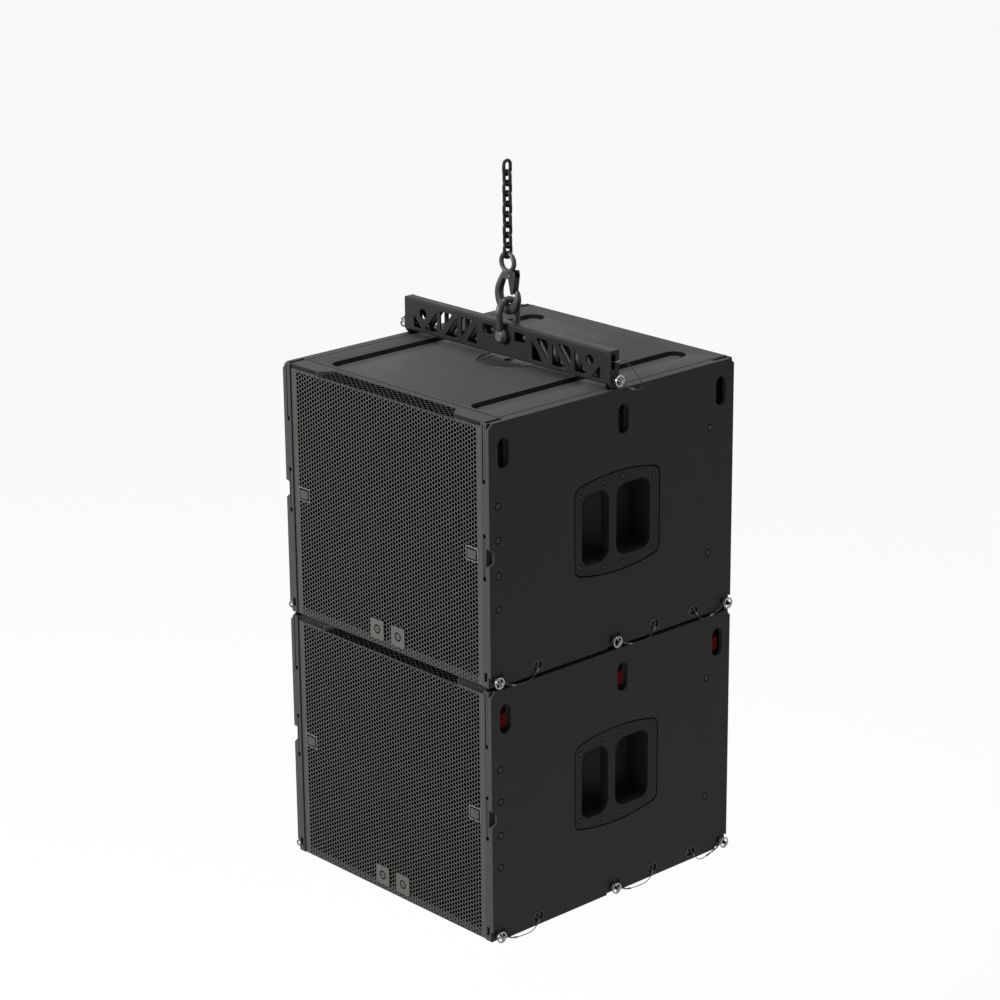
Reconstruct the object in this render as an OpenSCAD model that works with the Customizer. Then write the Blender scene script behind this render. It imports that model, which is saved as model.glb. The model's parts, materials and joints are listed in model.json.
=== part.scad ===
// Flown line array speaker: two identical bass cabinets under a lattice fly bar, hung by a
// bow shackle and a latched hook from a length of hoist chain.
// Frame: origin on the wire centre of the top chain link, +Z up, -Y towards the audience,
// +X to the right of somebody who stands behind the array.

/* [Cabinet] */
// Width over both side panels
cab_w = 700; // [690:1:730]
// Depth from the front edge of the side panels to the back
cab_d = 770; // [766:1:800]
// Height of one cabinet
cab_h = 610; // [606:1:640]
// Gap between two flown cabinets
cab_gap = 9; // [7:0.5:11]
// Thickness of the side panels, which hold the rigging
side_t = 25; // [25:0.5:30]
// Thickness of the top, bottom and back panels
panel_t = 18; // [16:0.5:22]
// Thickness of the baffle that carries the woofer
baffle_t = 24; // [20:1:28]
// Rounding of the side panel corners
side_r = 3; // [1:0.5:5]

/* [Front] */
// How far the side panels stand in front of the grille
front_proud = 4; // [2:0.5:6]
// Sheet thickness of the grille
grille_t = 2; // [1.5:0.1:3]
// Plain border beside the perforation
grille_border = 17; // [14:1:24]
// Plain border under the perforation
grille_lower_border = 7; // [6:0.5:12]
// Column pitch of the hexagonal perforation
hex_pitch = 36.5; // [34:0.5:40]
// Web left between two hexagonal holes
hex_web = 8; // [6:0.5:10]
// Half width of the ramp in the top edge, at the front
ramp_half_front = 235; // [200:1:260]
// Half width of the ramp, at the back
ramp_half_back = 200; // [160:1:220]
// Length of the ramp from front to back
ramp_len = 38; // [30:1:42]
// Height that the ramp drops towards the front
ramp_drop = 12; // [8:1:14]
// Distance from the grille to the baffle
baffle_set = 36; // [32:1:42]
// Depth of the top rail, from the grille to the seam with the top panel
rail_d = 48; // [44:1:56]

/* [Rigging links] */
// Thickness of a link
link_t = 9; // [8:0.5:9]
// Width of a link
link_w = 48; // [44:1:50]
// Width of the nose of a link
nose_w = 24; // [22:1:26]
// Height of the pinned hole above the cabinet top, link raised
pin_up = 22.5; // [20:0.5:24]
// Height of the tip above the cabinet top, link raised
tip_up = 35; // [34:0.5:37]
// Depth of the lower end below the cabinet top, link raised
link_down = 96; // [90:1:100]
// Travel of a link from stowed to raised
link_travel = 60; // [45:1:62]
// Clearance of a link in its channel, each side
link_fit = 0.5; // [0.3:0.1:0.8]
// Wall of the side panel inboard of the link channel
inner_wall = 4; // [3:0.5:5]
// Distance from the cabinet edge to the first lock pin
pin_edge = 18; // [17:0.5:20]
// Width of a finger window
window_w = 33; // [28:1:36]
// Height of a finger window
window_h = 70; // [60:1:74]
// Depth of the top of a finger window below the cabinet top
window_top = 37; // [34:1:40]

/* [Lock pins] */
// Shank diameter of a lock pin
lock_d = 10; // [9:0.5:11]
// Radial clearance of a lock pin in its holes
lock_fit = 0.1; // [0.05:0.01:0.1]
// Outer diameter of the pull ring
ring_d = 28; // [24:1:30]
// Wire diameter of the pull ring
ring_wire = 4; // [3:0.5:5]
// Wall left outboard of the channel, where a lock pin seats
pin_wall = 4; // [3:0.5:6]
// Diameter of a lanyard
lanyard_d = 2; // [1.5:0.1:2.5]

/* [Handles and runners] */
// Length of the handle plate, along the depth of the cabinet
handle_l = 267; // [250:1:280]
// Height of the handle plate at its ends
handle_h = 200; // [190:1:220]
// Extra height of the handle plate at its middle, in all
handle_crown = 35; // [20:1:44]
// Depth of the handle pockets
handle_depth = 68; // [55:1:75]
// Width of the grip between the two pockets
grip_w = 23; // [18:1:30]
// Width of a runner under a cabinet
skid_w = 24; // [20:1:28]
// Height of a runner
skid_h = 12; // [11:0.5:14]
// Depth of the groove that takes the runner of the cabinet above
groove_h = 7; // [6:0.5:9]
// Width of the groove at the top, above its sloping sides
groove_w = 58; // [50:1:64]

/* [Amplifier module] */
// Width of the plate
amp_w = 400; // [380:1:440]
// Height of the plate
amp_h = 230; // [220:1:260]
// Thickness of the plate
amp_t = 3; // [2:0.5:4]
// Rim of the plate outside its chassis
amp_rim = 14; // [10:1:20]
// Depth of the chassis inside the cabinet
amp_d = 100; // [80:1:120]
// Wall of the chassis
amp_wall = 2; // [1.5:0.1:3]
// Radius of the lead-through to the woofer
lead_r = 12; // [8:1:16]
// Radius of the connector sockets
socket_r = 12; // [10:0.5:13]
// Number of cooling fins
fins = 13; // [9:1:17]
// Thickness of a cooling fin
fin_t = 3; // [2:0.5:4]
// Width of the transformer
core_w = 112; // [40:1:130]
// Height of the transformer
core_h = 104; // [40:1:130]
// Depth of the transformer
core_d = 50; // [30:1:54]
// Distance of the transformer's middle from the middle of the cabinet
core_x = -14; // [-40:1:80]

/* [Woofer] */
// Nominal diameter of the cone opening
cone_d = 378; // [360:1:400]
// Outer diameter of the woofer frame
frame_d = 462; // [450:1:470]
// Depth of the woofer behind the baffle front
woofer_depth = 196; // [180:1:210]
// Radius of the magnet
motor_r = 72; // [66:1:90]
// Radius of the roll of the surround
roll_r = 6.5; // [5:0.5:8]
// Gap between the cone and its surround
cone_gap = 0.3; // [0.2:0.1:0.5]

/* [Fly bar] */
// Length of the bar over its end plates
bar_l = 692; // [690:1:696]
// Depth of the bar
bar_d = 28; // [26:1:28]
// Height of the bar
bar_h = 80; // [76:1:90]
// Wall of the bar
bar_wall = 4; // [3:0.5:5]
// Height of the underside of the bar above the cabinet
bar_up = 10; // [9:0.5:12]
// Thickness of the end plates
end_t = 7; // [7:0.5:8]
// Width of the foot of an end plate
foot_w = 21; // [18:1:26]
// Height of the shackle hole above the underside of the bar
bolt_up = 50; // [44:1:52]
// Diameter of the side pick holes
pick_d = 24.5; // [20:0.5:26]
// Distance of the side pick holes from the middle of the bar
pick_x = 281; // [278:1:284]

/* [Hook, shackle and chain] */
// Wire diameter of the chain
chain_wire = 8; // [7:0.5:8]
// Pitch of the chain
chain_pitch = 24; // [23:0.5:28]
// Inner width of a chain link
chain_inner = 12; // [12:0.5:14]
// Number of chain links
chain_links = 9; // [3:2:13]
// Play between pieces that hang in one another
hang_gap = 0.3; // [0.2:0.1:0.4]
// Centreline radius of the hook eye
eye_r = 21; // [19:0.5:23]
// Wire diameter of the hook eye
eye_wire = 11; // [9.5:0.5:11]
// Height from the hook eye's centre down to the hook saddle
saddle_down = 97; // [94:1:100]
// Wire diameter of the shackle bow
bow_wire = 17; // [15:0.5:17]
// Centreline radius of the shackle bow
bow_r = 28; // [27:0.5:30]
// Distance from the bow's wire centre to the shackle pin
bow_reach = 82; // [80:1:90]
// Inside width between the shackle ears
ear_gap = 30; // [30:0.5:33]
// Outer diameter of the shackle ears
ear_d = 38; // [34:1:42]
// Width of a shackle ear
ear_w = 17; // [15:0.5:19]
// Diameter of the shackle pin
bolt_d = 20; // [18:0.5:22]
// Radial clearance of the shackle pin in the bar
bolt_fit = 0.08; // [0.05:0.01:0.1]
// Diameter of the latch rivet
rivet_d = 4; // [3:0.5:5]

/* [Hidden] */
$fn = 64;
cabs = ["upper", "lower"];

// ---- heights of the hang, from the top chain link down ----
link_step = chain_pitch + chain_wire + hang_gap;
swing_z = -(chain_links - 1) * chain_pitch - link_step;
eye_z = swing_z + chain_wire / 2 + hang_gap + eye_wire / 2 - eye_r;
saddle_z = eye_z - saddle_down;
bow_z = saddle_z + hang_gap + bow_wire / 2;
bolt_z = bow_z - bow_reach;
bar_z = bolt_z - bolt_up;
upper_top = bar_z - bar_up;
cab_step = cab_h + cab_gap;

// ---- plan of a cabinet ----
half_w = cab_w / 2;
half_d = cab_d / 2;
box_x = half_w - side_t;
chan_in = box_x + inner_wall;
chan_out = chan_in + link_t + 2 * link_fit;
link_x = (chan_in + chan_out) / 2;
pin_seat = chan_out + pin_wall;
front_y = -half_d + front_proud;
baffle_y = front_y + baffle_set;
mid_z = -cab_h / 2;
pin_ys = [-half_d + pin_edge, 0, half_d - pin_edge];
// the wide part of a link lies behind its pin, and in front of it at the rear
link_dirs = [1, 1, -1];
places = ["front", "middle", "rear"];
sides = [["left", -1], ["right", 1]];
// runners and their grooves
skid_x = 237;
skid_y = [-half_d + 80, half_d - 71];
// finger windows: offset of their centre from the pin, towards the wide part
window_shift = 25.5;
// anchors of the lanyards, [y, height above the cabinet's underside]
anchor_ys = [-half_d + 140, half_d - 258, half_d - 127];
anchor_up = 21;
anchor_w = 36;
anchor_h = 26;
cup_depth = 6;

function cab_top(c) = upper_top - c * cab_step;
function arc(c, r, a0, a1, n) =
    [for (i = [0 : n]) let (a = a0 + (a1 - a0) * i / n) c + r * [cos(a), sin(a)]];
// A polygon with each corner rounded to radius r
function unit(v) = v / norm(v);
function corner(p, a, b, r, n) =
    let (u = unit(a - p), v = unit(b - p), half = acos(u * v) / 2)
    let (m = unit(u + v), c = p + m * r / sin(half))
    let (t0 = p + u * r / tan(half) - c, t1 = p + v * r / tan(half) - c)
    let (a0 = atan2(t0[1], t0[0]), d = atan2(t0[0] * t1[1] - t0[1] * t1[0], t0 * t1))
    [for (i = [0 : n]) c + r * [cos(a0 + d * i / n), sin(a0 + d * i / n)]];
function rounded(pts, r, n = 5) =
    let (k = len(pts))
    [for (i = [0 : k - 1]) each corner(pts[i], pts[(i + k - 1) % k], pts[(i + 1) % k], r, n)];
// Catmull-Rom point between stations b and c
function spline(a, b, c, d, t) =
    0.5 * (2 * b + (c - a) * t + (2 * a - 5 * b + 4 * c - d) * t * t
           + (3 * b - a - 3 * c + d) * t * t * t);
function smooth(s, n) =
    let (k = len(s))
    [for (i = [0 : k - 2], j = [0 : n - 1])
        spline(s[max(i - 1, 0)], s[i], s[i + 1], s[min(i + 2, k - 1)], j / n),
     s[k - 1]];

// Solid between rings of points, closed at both ends
module loft(rings) {
    m = len(rings[0]);
    k = len(rings);
    polyhedron(
        [for (r = rings) each r],
        concat(
            [[for (j = [0 : m - 1]) j]],
            [for (i = [0 : k - 2], j = [0 : m - 1])
                [i * m + j, (i + 1) * m + j, (i + 1) * m + (j + 1) % m, i * m + (j + 1) % m]],
            [[for (j = [m - 1 : -1 : 0]) (k - 1) * m + j]]
        )
    );
}
// Round cord through the points of a path
module cord(path, d, sides) {
    k = len(path);
    function tangent(i) = unit(path[min(i + 1, k - 1)] - path[max(i - 1, 0)]);
    loft([for (i = [0 : k - 1])
        let (t = tangent(i), u = unit(cross(t, [0.02, 0.03, 1])), v = cross(t, u))
        [for (j = [0 : sides - 1])
            path[i] + d / 2 * (cos(360 * j / sides) * u + sin(360 * j / sides) * v)]]);
}
// Box from its lowest and highest corners
module box(a, b) {
    translate(a) cube(b - a);
}
// Plate whose outline lies in the YZ plane, between two values of x
module plate_x(x0, x1) {
    translate([x0, 0, 0]) rotate([90, 0, 90]) linear_extrude(x1 - x0) children();
}
// Plate whose outline lies in the XZ plane, between two values of y
module plate_y(y0, y1) {
    translate([0, y1, 0]) rotate([90, 0, 0]) linear_extrude(y1 - y0) children();
}
module rod_x(x0, x1, r) {
    translate([x0, 0, 0]) rotate([0, 90, 0]) cylinder(h = x1 - x0, r = r);
}
module rod_y(y0, y1, r) {
    translate([0, y0, 0]) rotate([-90, 0, 0]) cylinder(h = y1 - y0, r = r);
}
// Upright or lying slot with round ends, in a plane
module obround(w, h) {
    r = min(w, h) / 2;
    square([w < h ? w : w - 2 * r, w < h ? h - 2 * r : h], center = true);
    for (s = [-1, 1]) {
        translate(s * [w / 2 - r, h / 2 - r]) circle(r);
    }
}
module both_sides() {
    children();
    mirror([1, 0, 0]) children();
}

// ---- chain, hook and shackle ----
chain_r = (chain_inner + chain_wire) / 2;
// Half a torus that bends upwards, in the XZ plane
module crown(r, wire) {
    rotate([90, 0, 0]) rotate_extrude(angle = 180) translate([r, 0]) circle(d = wire);
}
module chain_link() {
    leg = link_step - 2 * chain_r;
    translate([0, 0, -chain_r]) crown(chain_r, chain_wire);
    translate([0, 0, -chain_r - leg]) mirror([0, 0, 1]) crown(chain_r, chain_wire);
    for (s = [-1, 1]) {
        translate([s * chain_r, 0, -chain_r - leg]) cylinder(h = leg, d = chain_wire);
    }
}
module hoist_chain() {
    color("#26272a")
    for (i = [0 : chain_links - 1]) {
        translate([0, 0, -i * chain_pitch])
            rotate([0, 0, i % 2 == 0 ? 90 : 0]) chain_link();
    }
}

// Stations of the hook, from the eye to the tip: [x, z, thickness, width] about the eye
bowl_t = 26;
hook_path = [
    [-6, -eye_r - 1, 14, 12], [-13, -32, 16, 15], [-20, -45, 17, 18], [-27.5, -62, 18, 20],
    [-29, -81, 20, 19], [-20, -saddle_down - 6, 24, 16], [0, -saddle_down - bowl_t / 2, bowl_t, 14],
    [20, -saddle_down - 7, 24, 15], [31, -87, 18, 16], [33, -73, 13, 13], [31, -62, 8, 8]
];
// Squared oval, number i of a smoothed list of stations
function squared(v) = sign(v) * pow(abs(v), 0.8);
function hook_ring(s, i, m) =
    let (k = len(s), d = s[min(i + 1, k - 1)] - s[max(i - 1, 0)], t = unit([d[0], d[1]]))
    [for (j = [0 : m - 1])
        let (a = 360 * j / m, n = s[i][2] / 2 * squared(cos(a)))
        [s[i][0] + n * t[1], s[i][3] / 2 * squared(sin(a)), s[i][1] - n * t[0]]];
latch_x = 14;
latch_z = -28;
module hook_body() {
    s = smooth(hook_path, 4);
    color("#2e3034")
    translate([0, 0, eye_z]) difference() {
        union() {
            rotate([90, 0, 0]) rotate_extrude() translate([eye_r, 0]) circle(d = eye_wire);
            loft([for (i = [0 : len(s) - 1]) hook_ring(s, i, 16)]);
            plate_y(-6, 6) polygon(rounded(
                [[-9, -eye_r], [10, -eye_r + 2], [latch_x + 8, latch_z + 2],
                 [latch_x + 3, latch_z - 7], [-2, -40], [-11, -36]], 2));
        }
        translate([latch_x, 0, latch_z]) rod_y(-10, 10, rivet_d / 2 + 0.02);
    }
}
latch_gap = 0.4;
latch_sheet = 2;
// Side outline of the latch, about the eye
latch_outline = [[6, -22], [14, -17], [30, -15], [32, -26], [25, -72], [17, -72]];
module hook_latch() {
    in = 6 + latch_gap;
    color("#3a3c40")
    translate([0, 0, eye_z]) difference() {
        union() {
            for (s = [-1, 1]) {
                plate_y(s * (in + latch_sheet / 2) - latch_sheet / 2,
                        s * (in + latch_sheet / 2) + latch_sheet / 2)
                    polygon(rounded(latch_outline, 2.5));
            }
            plate_y(-in - 1, in + 1)
                polygon([[28.9, -34], [30.4, -34], [25, -70], [23.4, -70]]);
        }
        translate([latch_x, 0, latch_z]) rod_y(-15, 15, rivet_d / 2 + 0.06);
    }
}
module hook_latch_rivet() {
    out = 6 + latch_gap + latch_sheet + 0.3;
    color("#8f9296")
    translate([latch_x, 0, eye_z + latch_z]) {
        rod_y(-out, out, rivet_d / 2);
        rod_y(out, out + 1.5, rivet_d * 0.8);
        rod_y(-out - 1.5, -out, rivet_d * 0.8);
    }
}

// The bow's legs run from its crown to the ears along a tangent
ear_y = ear_gap / 2 + ear_w / 2;
leg_drop = bow_reach - bow_r;
leg_dist = norm([ear_y, leg_drop]);
leg_a = acos(bow_r / leg_dist) - atan2(leg_drop, ear_y);
leg_len = sqrt(leg_dist * leg_dist - bow_r * bow_r);
leg_end = bolt_d / 2 + 2;
// the legs start inside the crown and are a little thinner
leg_start = 2.5;
leg_wire = bow_wire - 0.5;
module shackle_ear() {
    intersection() {
        rod_y(ear_gap / 2, ear_gap / 2 + ear_w, ear_d / 2);
        translate([0, ear_gap / 2 - 3, 0]) sphere(r = ear_d * 0.592);
    }
}
module shackle_bow() {
    color("#3b3e43")
    difference() {
        union() {
            translate([0, 0, bow_z - bow_r]) rotate([90, 0, 90]) rotate([0, 0, leg_a])
                rotate_extrude(angle = 180 - 2 * leg_a) translate([bow_r, 0])
                    circle(d = bow_wire);
            for (s = [0, 1]) mirror([0, s, 0]) {
                translate([0, bow_r * cos(leg_a), bow_z - bow_r + bow_r * sin(leg_a)])
                    rotate([leg_a, 0, 0]) translate([0, 0, -leg_len + leg_end])
                        cylinder(h = leg_len - leg_end + leg_start, d = leg_wire);
                translate([0, 0, bolt_z]) shackle_ear();
            }
        }
        translate([0, 0, bolt_z]) rod_y(-2 * ear_gap, 2 * ear_gap, bolt_d / 2 + bolt_fit);
    }
}
bolt_collar = 5;
bolt_eye_r = 13;
module shackle_pin() {
    end = ear_gap / 2 + ear_w;
    color("#6d7177")
    translate([0, 0, bolt_z]) {
        rod_y(-end, end + hang_gap, bolt_d / 2);
        rod_y(end + hang_gap, end + hang_gap + bolt_collar, bolt_d * 0.75);
        translate([0, end + bolt_collar + bolt_eye_r - 3, 0]) difference() {
            rod_x(-4, 4, bolt_eye_r);
            rod_x(-5, 5, bolt_eye_r / 2);
        }
    }
}

// ---- fly bar ----
end_x = bar_l / 2;
tube_x = end_x - end_t;
lattice_r = 2;
win_top = bar_h - 14;
win_low = 11;
// Windows of one half of the lattice wall, [x, height above the underside]
lattice = [
    [[35, win_top], [72, win_top], [72, 44], [35, 44]],
    [[93, 60], [93, win_low], [129, win_low]],
    [[106, win_top], [146, win_top], [146, 17]],
    [[160, 63], [160, win_low], [205, win_low]],
    [[178, win_top], [220, win_top], [220, 17]],
    [[232, 63], [232, win_low], [276, win_low]],
    [[286, win_low], [314, win_low], [314, 42]]
];
module bar_section(inset) {
    r = 5 - inset;
    w = bar_d - 2 * inset;
    h = bar_h - 2 * inset;
    for (a = [-1, 1], b = [-1, 1]) {
        translate([a * (w / 2 - r), b * (h / 2 - r)]) circle(r, $fn = 32);
    }
    square([w - 2 * r, h], center = true);
    square([w, h - 2 * r], center = true);
}
module fly_bar_tube() {
    color("#232427")
    difference() {
        translate([0, 0, bar_z + bar_h / 2]) plate_x(-tube_x, tube_x) difference() {
            bar_section(0);
            bar_section(bar_wall);
        }
        translate([0, 0, bar_z]) {
            both_sides() {
                for (w = lattice) {
                    plate_y(-bar_d, bar_d) polygon(rounded(w, lattice_r));
                }
                // the nose of the raised link comes up through this slot
                box([chan_in, -nose_w / 2 - 1, -bar_up], [tube_x + 1, nose_w / 2 + 1,
                    tip_up - bar_up + 3]);
                translate([pick_x, 0, bolt_up - 2]) rod_y(-bar_d, bar_d, pick_d / 2);
            }
            translate([0, 0, bolt_up]) rod_y(-bar_d, bar_d, bolt_d / 2 + bolt_fit + 3);
        }
    }
}
foot_drop = 6;
eye_hole_up = bar_h - 26;
eye_hole_y = -4;
module end_outline() {
    a = bar_d / 2;
    b = foot_w / 2;
    polygon(rounded([[-a, bar_h], [a, bar_h], [a, 0], [b, 0], [b, -foot_drop],
                     [-b, -foot_drop], [-b, 0], [-a, 0]], 2.5));
}
module fly_bar_end_plates() {
    color("#26272a")
    translate([0, 0, bar_z]) both_sides() {
        difference() {
            plate_x(tube_x, end_x) end_outline();
            translate([0, 0, pin_up - bar_up]) rod_x(tube_x - 1, end_x + 1, lock_d / 2 + lock_fit);
            translate([0, eye_hole_y, eye_hole_up]) plate_x(tube_x - 1, end_x + 1) obround(12, 36);
        }
        // inner cheek, inside the tube
        difference() {
            box([chan_in - 7, -bar_d / 2 + bar_wall, bar_wall],
                [chan_in, bar_d / 2 - bar_wall, tip_up - bar_up + 12]);
            translate([0, 0, pin_up - bar_up]) rod_x(chan_in - 8, chan_in + 1,
                lock_d / 2 + lock_fit);
        }
        // bar across the opening that the lanyard is tied to
        translate([(tube_x + end_x) / 2, eye_hole_y, eye_hole_up]) rod_y(-6.5, 6.5, 2);
    }
}
module fly_bar_bush() {
    color("#55585d")
    translate([0, 0, bar_z + bolt_up]) difference() {
        rod_y(-bar_d / 2, bar_d / 2, bolt_d / 2 + bolt_fit + 3);
        rod_y(-bar_d, bar_d, bolt_d / 2 + bolt_fit);
    }
}

// ---- lock pins ----
collar_t = 6;
spindle_d = 9;
ring_out = 17;
// Lock pin that seats on a wall at x = seat, with its tip at x = tip
module lock_pin(seat, tip) {
    ring_r = (ring_d - ring_wire) / 2;
    rod_x(tip, seat + hang_gap, lock_d / 2);
    rod_x(seat + hang_gap, seat + collar_t, lock_d / 2 + 3);
    rod_x(seat + collar_t, seat + ring_out + 6, spindle_d / 2);
    rod_x(seat + ring_out + 6, seat + ring_out + 8, spindle_d / 2 - 1.5);
    translate([seat + ring_out, 0, 0]) {
        rotate([0, 90, 0]) rotate_extrude() translate([ring_r, 0]) circle(d = ring_wire);
        for (s = [0, 1]) mirror([0, 0, s]) {
            translate([0, 0, spindle_d / 4]) cylinder(h = ring_r - spindle_d / 4, d = ring_wire - 1);
        }
    }
}
module bar_pin(s) {
    color("#c9ccd0")
    translate([0, 0, upper_top + pin_up]) mirror([s < 0 ? 1 : 0, 0, 0])
        lock_pin(end_x, chan_in - 7);
}
module cab_pin(c, p, s) {
    color("#c9ccd0")
    translate([0, pin_ys[p], cab_top(c + 1) + pin_up]) mirror([s < 0 ? 1 : 0, 0, 0])
        lock_pin(pin_seat, box_x + 0.5);
}

// ---- links ----
tab_w = 16;
tab_h = 34;
tab_t = 3.5;
tab_up = 2;
shoulder_up = 4;
module rig_link(p) {
    d = link_dirs[p];
    a = nose_w / 2;
    b = link_w - a;
    difference() {
        union() {
            plate_x(link_x - link_t / 2, link_x + link_t / 2) scale([d, 1]) polygon(concat(
                rounded([[-a, -link_down], [b, -link_down], [b, shoulder_up],
                         [a, shoulder_up], [a, tip_up], [-a, tip_up]], 4)));
            translate([0, d * window_shift, -link_down + tab_up + tab_h / 2])
                plate_x(link_x, link_x + link_t / 2 + tab_t) obround(tab_w, tab_h);
        }
        translate([0, 0, pin_up]) rod_x(chan_in, chan_out, lock_d / 2 + lock_fit);
    }
}
module placed_link(c, p, s, lift) {
    translate([0, pin_ys[p], cab_top(c) + lift]) mirror([s < 0 ? 1 : 0, 0, 0]) rig_link(p);
}
module stowed_link(p, s) {
    color("#1f2022") placed_link(0, p, s, -link_travel);
}
module upper_middle_links() {
    color("#1f2022") for (s = [-1, 1]) placed_link(0, 1, s, 0);
}
module lower_links() {
    color("#a3161c") for (p = [0 : 2], s = [-1, 1]) placed_link(1, p, s, 0);
}

// ---- side panels ----
handle_y = 7.5;
handle_z = -cab_h / 2 - 4;
corner_r = 20;
// Barrel outline of the handle plate: straight ends, crowned top and bottom
function barrel(l, h, crown, r) =
    let (big = (l * l / 4 + crown * crown / 4) / crown, c = h / 2 + crown / 2 - big)
    let (a = asin((l / 2 - r) / (big - r)), ye = c + (big - r) * cos(a))
    concat(
        arc([0, c], big, 90 + a, 90 - a, 12), arc([l / 2 - r, ye], r, 90 - a, 0, 5),
        arc([l / 2 - r, -ye], r, 0, -90 + a, 5), arc([0, -c], big, -90 + a, -90 - a, 12),
        arc([-l / 2 + r, -ye], r, -90 - a, -180, 5), arc([-l / 2 + r, ye], r, 180, 90 + a, 5));
function rect(a, b) = [a, [b[0], a[1]], b, [a[0], b[1]]];
plate_seat = 2.5;
dish_wall = 3;
dish_fit = 0.3;
pocket_y = [-112.5, 103.5];
pocket_h = 170;
grip_y = -16;
grip_t = 26;
module dish_outline(grow) {
    polygon(rounded(rect([pocket_y[0] - grow, -pocket_h / 2 - grow],
                         [pocket_y[1] + grow, pocket_h / 2 + grow]), 24 + grow));
}
// Everything that the rigging takes out of the right side panel, about the cabinet top
module rigging_cuts() {
    foot = -cab_h;
    for (p = [0 : 2]) translate([0, pin_ys[p], 0]) {
        d = link_dirs[p];
        a = nose_w / 2 + link_fit;
        b = link_w - nose_w / 2 + link_fit;
        // channel of the stowed link
        box([chan_in, d > 0 ? -a : -b, -link_travel - link_down - 0.5],
            [chan_out, d > 0 ? b : a, 1]);
        // finger window
        translate([0, d * window_shift, -window_top - window_h / 2])
            plate_x(chan_out - 1, half_w + 1) obround(window_w, window_h);
        // room for the grip tab between its two places
        box([chan_out - 1, d * window_shift - tab_w / 2 - link_fit,
             -link_travel - link_down + tab_up - link_fit],
            [link_x + link_t / 2 + tab_t + link_fit, d * window_shift + tab_w / 2 + link_fit,
             -window_top - window_h / 2]);
        // channel for the nose of the link below
        box([chan_in, -a, foot - 1], [chan_out, a, foot + tip_up - cab_gap + 3]);
        // lock pin bore and the notch that its collar seats in
        translate([0, 0, foot + pin_up - cab_gap]) rod_x(box_x + 0.4, pin_seat + 1,
            lock_d / 2 + lock_fit);
        plate_x(pin_seat, half_w + 1) polygon(
            [[-24, foot - 1], [24, foot - 1], [17, foot + 30], [-17, foot + 30]]);
    }
    // notches at the corners of the top edge
    for (e = [-1, 1]) {
        plate_x(pin_seat, half_w + 1) polygon(
            [[e * (half_d + 1), 1], [e * (half_d - 14), 1], [e * (half_d + 1), -14]]);
    }
    for (y = anchor_ys) {
        translate([0, y, foot + anchor_up]) plate_x(half_w - cup_depth, half_w + 1)
            obround(anchor_w, anchor_h);
    }
}
module front_cuts() {
    foot = -cab_h;
    front = -half_d;
    gx = [chan_in + 0.5, chan_out - 0.5];
    // slots that show the edge of the link, and marks down the rail
    box([gx[0], front - 1, -137], [gx[1], front + 8, -4]);
    box([gx[0], front - 1, foot + 15], [gx[1], front + 8, foot + 36]);
    for (z = [-256, -355]) {
        box([gx[0], front - 1, z - 5], [gx[1], front + 8, z + 5]);
    }
    // shallow groove beside the slots
    box([gx[0] + 2, front - 1, -350], [gx[1] - 2, front + 1.5, -260]);
    // grip notch in the outer edge
    plate_x(chan_out, half_w + 1) polygon(
        [[front - 1, -283], [front + 14, -295], [front + 14, -318], [front - 1, -327]]);
}
module side_panel() {
    difference() {
        plate_x(box_x, half_w) polygon(rounded(rect([-half_d, -cab_h], [half_d, 0]), side_r, 4));
        rigging_cuts();
        front_cuts();
        translate([0, handle_y, handle_z]) {
            plate_x(half_w - plate_seat, half_w + 1)
                polygon(barrel(handle_l + 2 * dish_fit, handle_h + 2 * dish_fit,
                    handle_crown, corner_r));
            plate_x(box_x - 1, half_w) dish_outline(dish_wall + dish_fit);
        }
    }
}
module side_panels() {
    color("#2a2a2c") both_sides() side_panel();
}

// ---- handles ----
module handle() {
    translate([0, handle_y, handle_z]) difference() {
        union() {
            plate_x(half_w - plate_seat + 0.2, half_w - 0.2)
                polygon(barrel(handle_l, handle_h, handle_crown, corner_r));
            plate_x(half_w - handle_depth - dish_wall, half_w - plate_seat + 1)
                dish_outline(dish_wall);
        }
        difference() {
            plate_x(half_w - handle_depth, half_w + 1) dish_outline(0);
            // the grip spreads into the plate at both ends; the pockets join behind it
            plate_x(half_w - grip_t, half_w + 2) difference() {
                translate([grip_y, 0]) square([3 * grip_w, pocket_h + 4], center = true);
                for (q = [[pocket_y[0] - 1, grip_y - grip_w / 2],
                          [grip_y + grip_w / 2, pocket_y[1] + 1]]) {
                    polygon(rounded(rect([q[0], -pocket_h / 2], [q[1], pocket_h / 2]), 30));
                }
            }
        }
    }
}
module handles() {
    color("#242527") both_sides() handle();
}

// ---- panels ----
rail_back = front_y + rail_d;
pole_r = 73;
pole_t = 4;
// Room beside a runner on the floor of its groove
groove_gap = 3;
// Groove for a runner: a flat floor and sides that slope out to the top
module groove() {
    low = skid_w / 2 + groove_gap;
    wide = groove_w / 2;
    y1 = (skid_y[1] - skid_y[0] - skid_w) / 2;
    plate_y(-y1, y1) polygon([[-low, -groove_h], [low, -groove_h], [wide, 0], [wide, 1],
                              [-wide, 1], [-wide, 0]]);
    for (s = [-1, 1]) translate([0, s * y1, 0]) {
        translate([0, 0, -groove_h]) cylinder(h = groove_h, r1 = low, r2 = wide);
        cylinder(h = 1, r = wide);
    }
}
module top_panel() {
    color("#303133")
    difference() {
        box([-box_x, rail_back, -panel_t], [box_x, half_d, 0]);
        for (s = [-1, 1]) {
            translate([s * skid_x, (skid_y[0] + skid_y[1]) / 2, 0]) groove();
        }
        translate([0, 0, -pole_t]) cylinder(h = pole_t + 1, r = pole_r);
        translate([0, 0, -panel_t - 1]) cylinder(h = panel_t, r = 30.2);
    }
}
// Chamfer around the pole plate, height and width
pole_edge = [2.5, 5];
socket_depth = 40;
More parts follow.
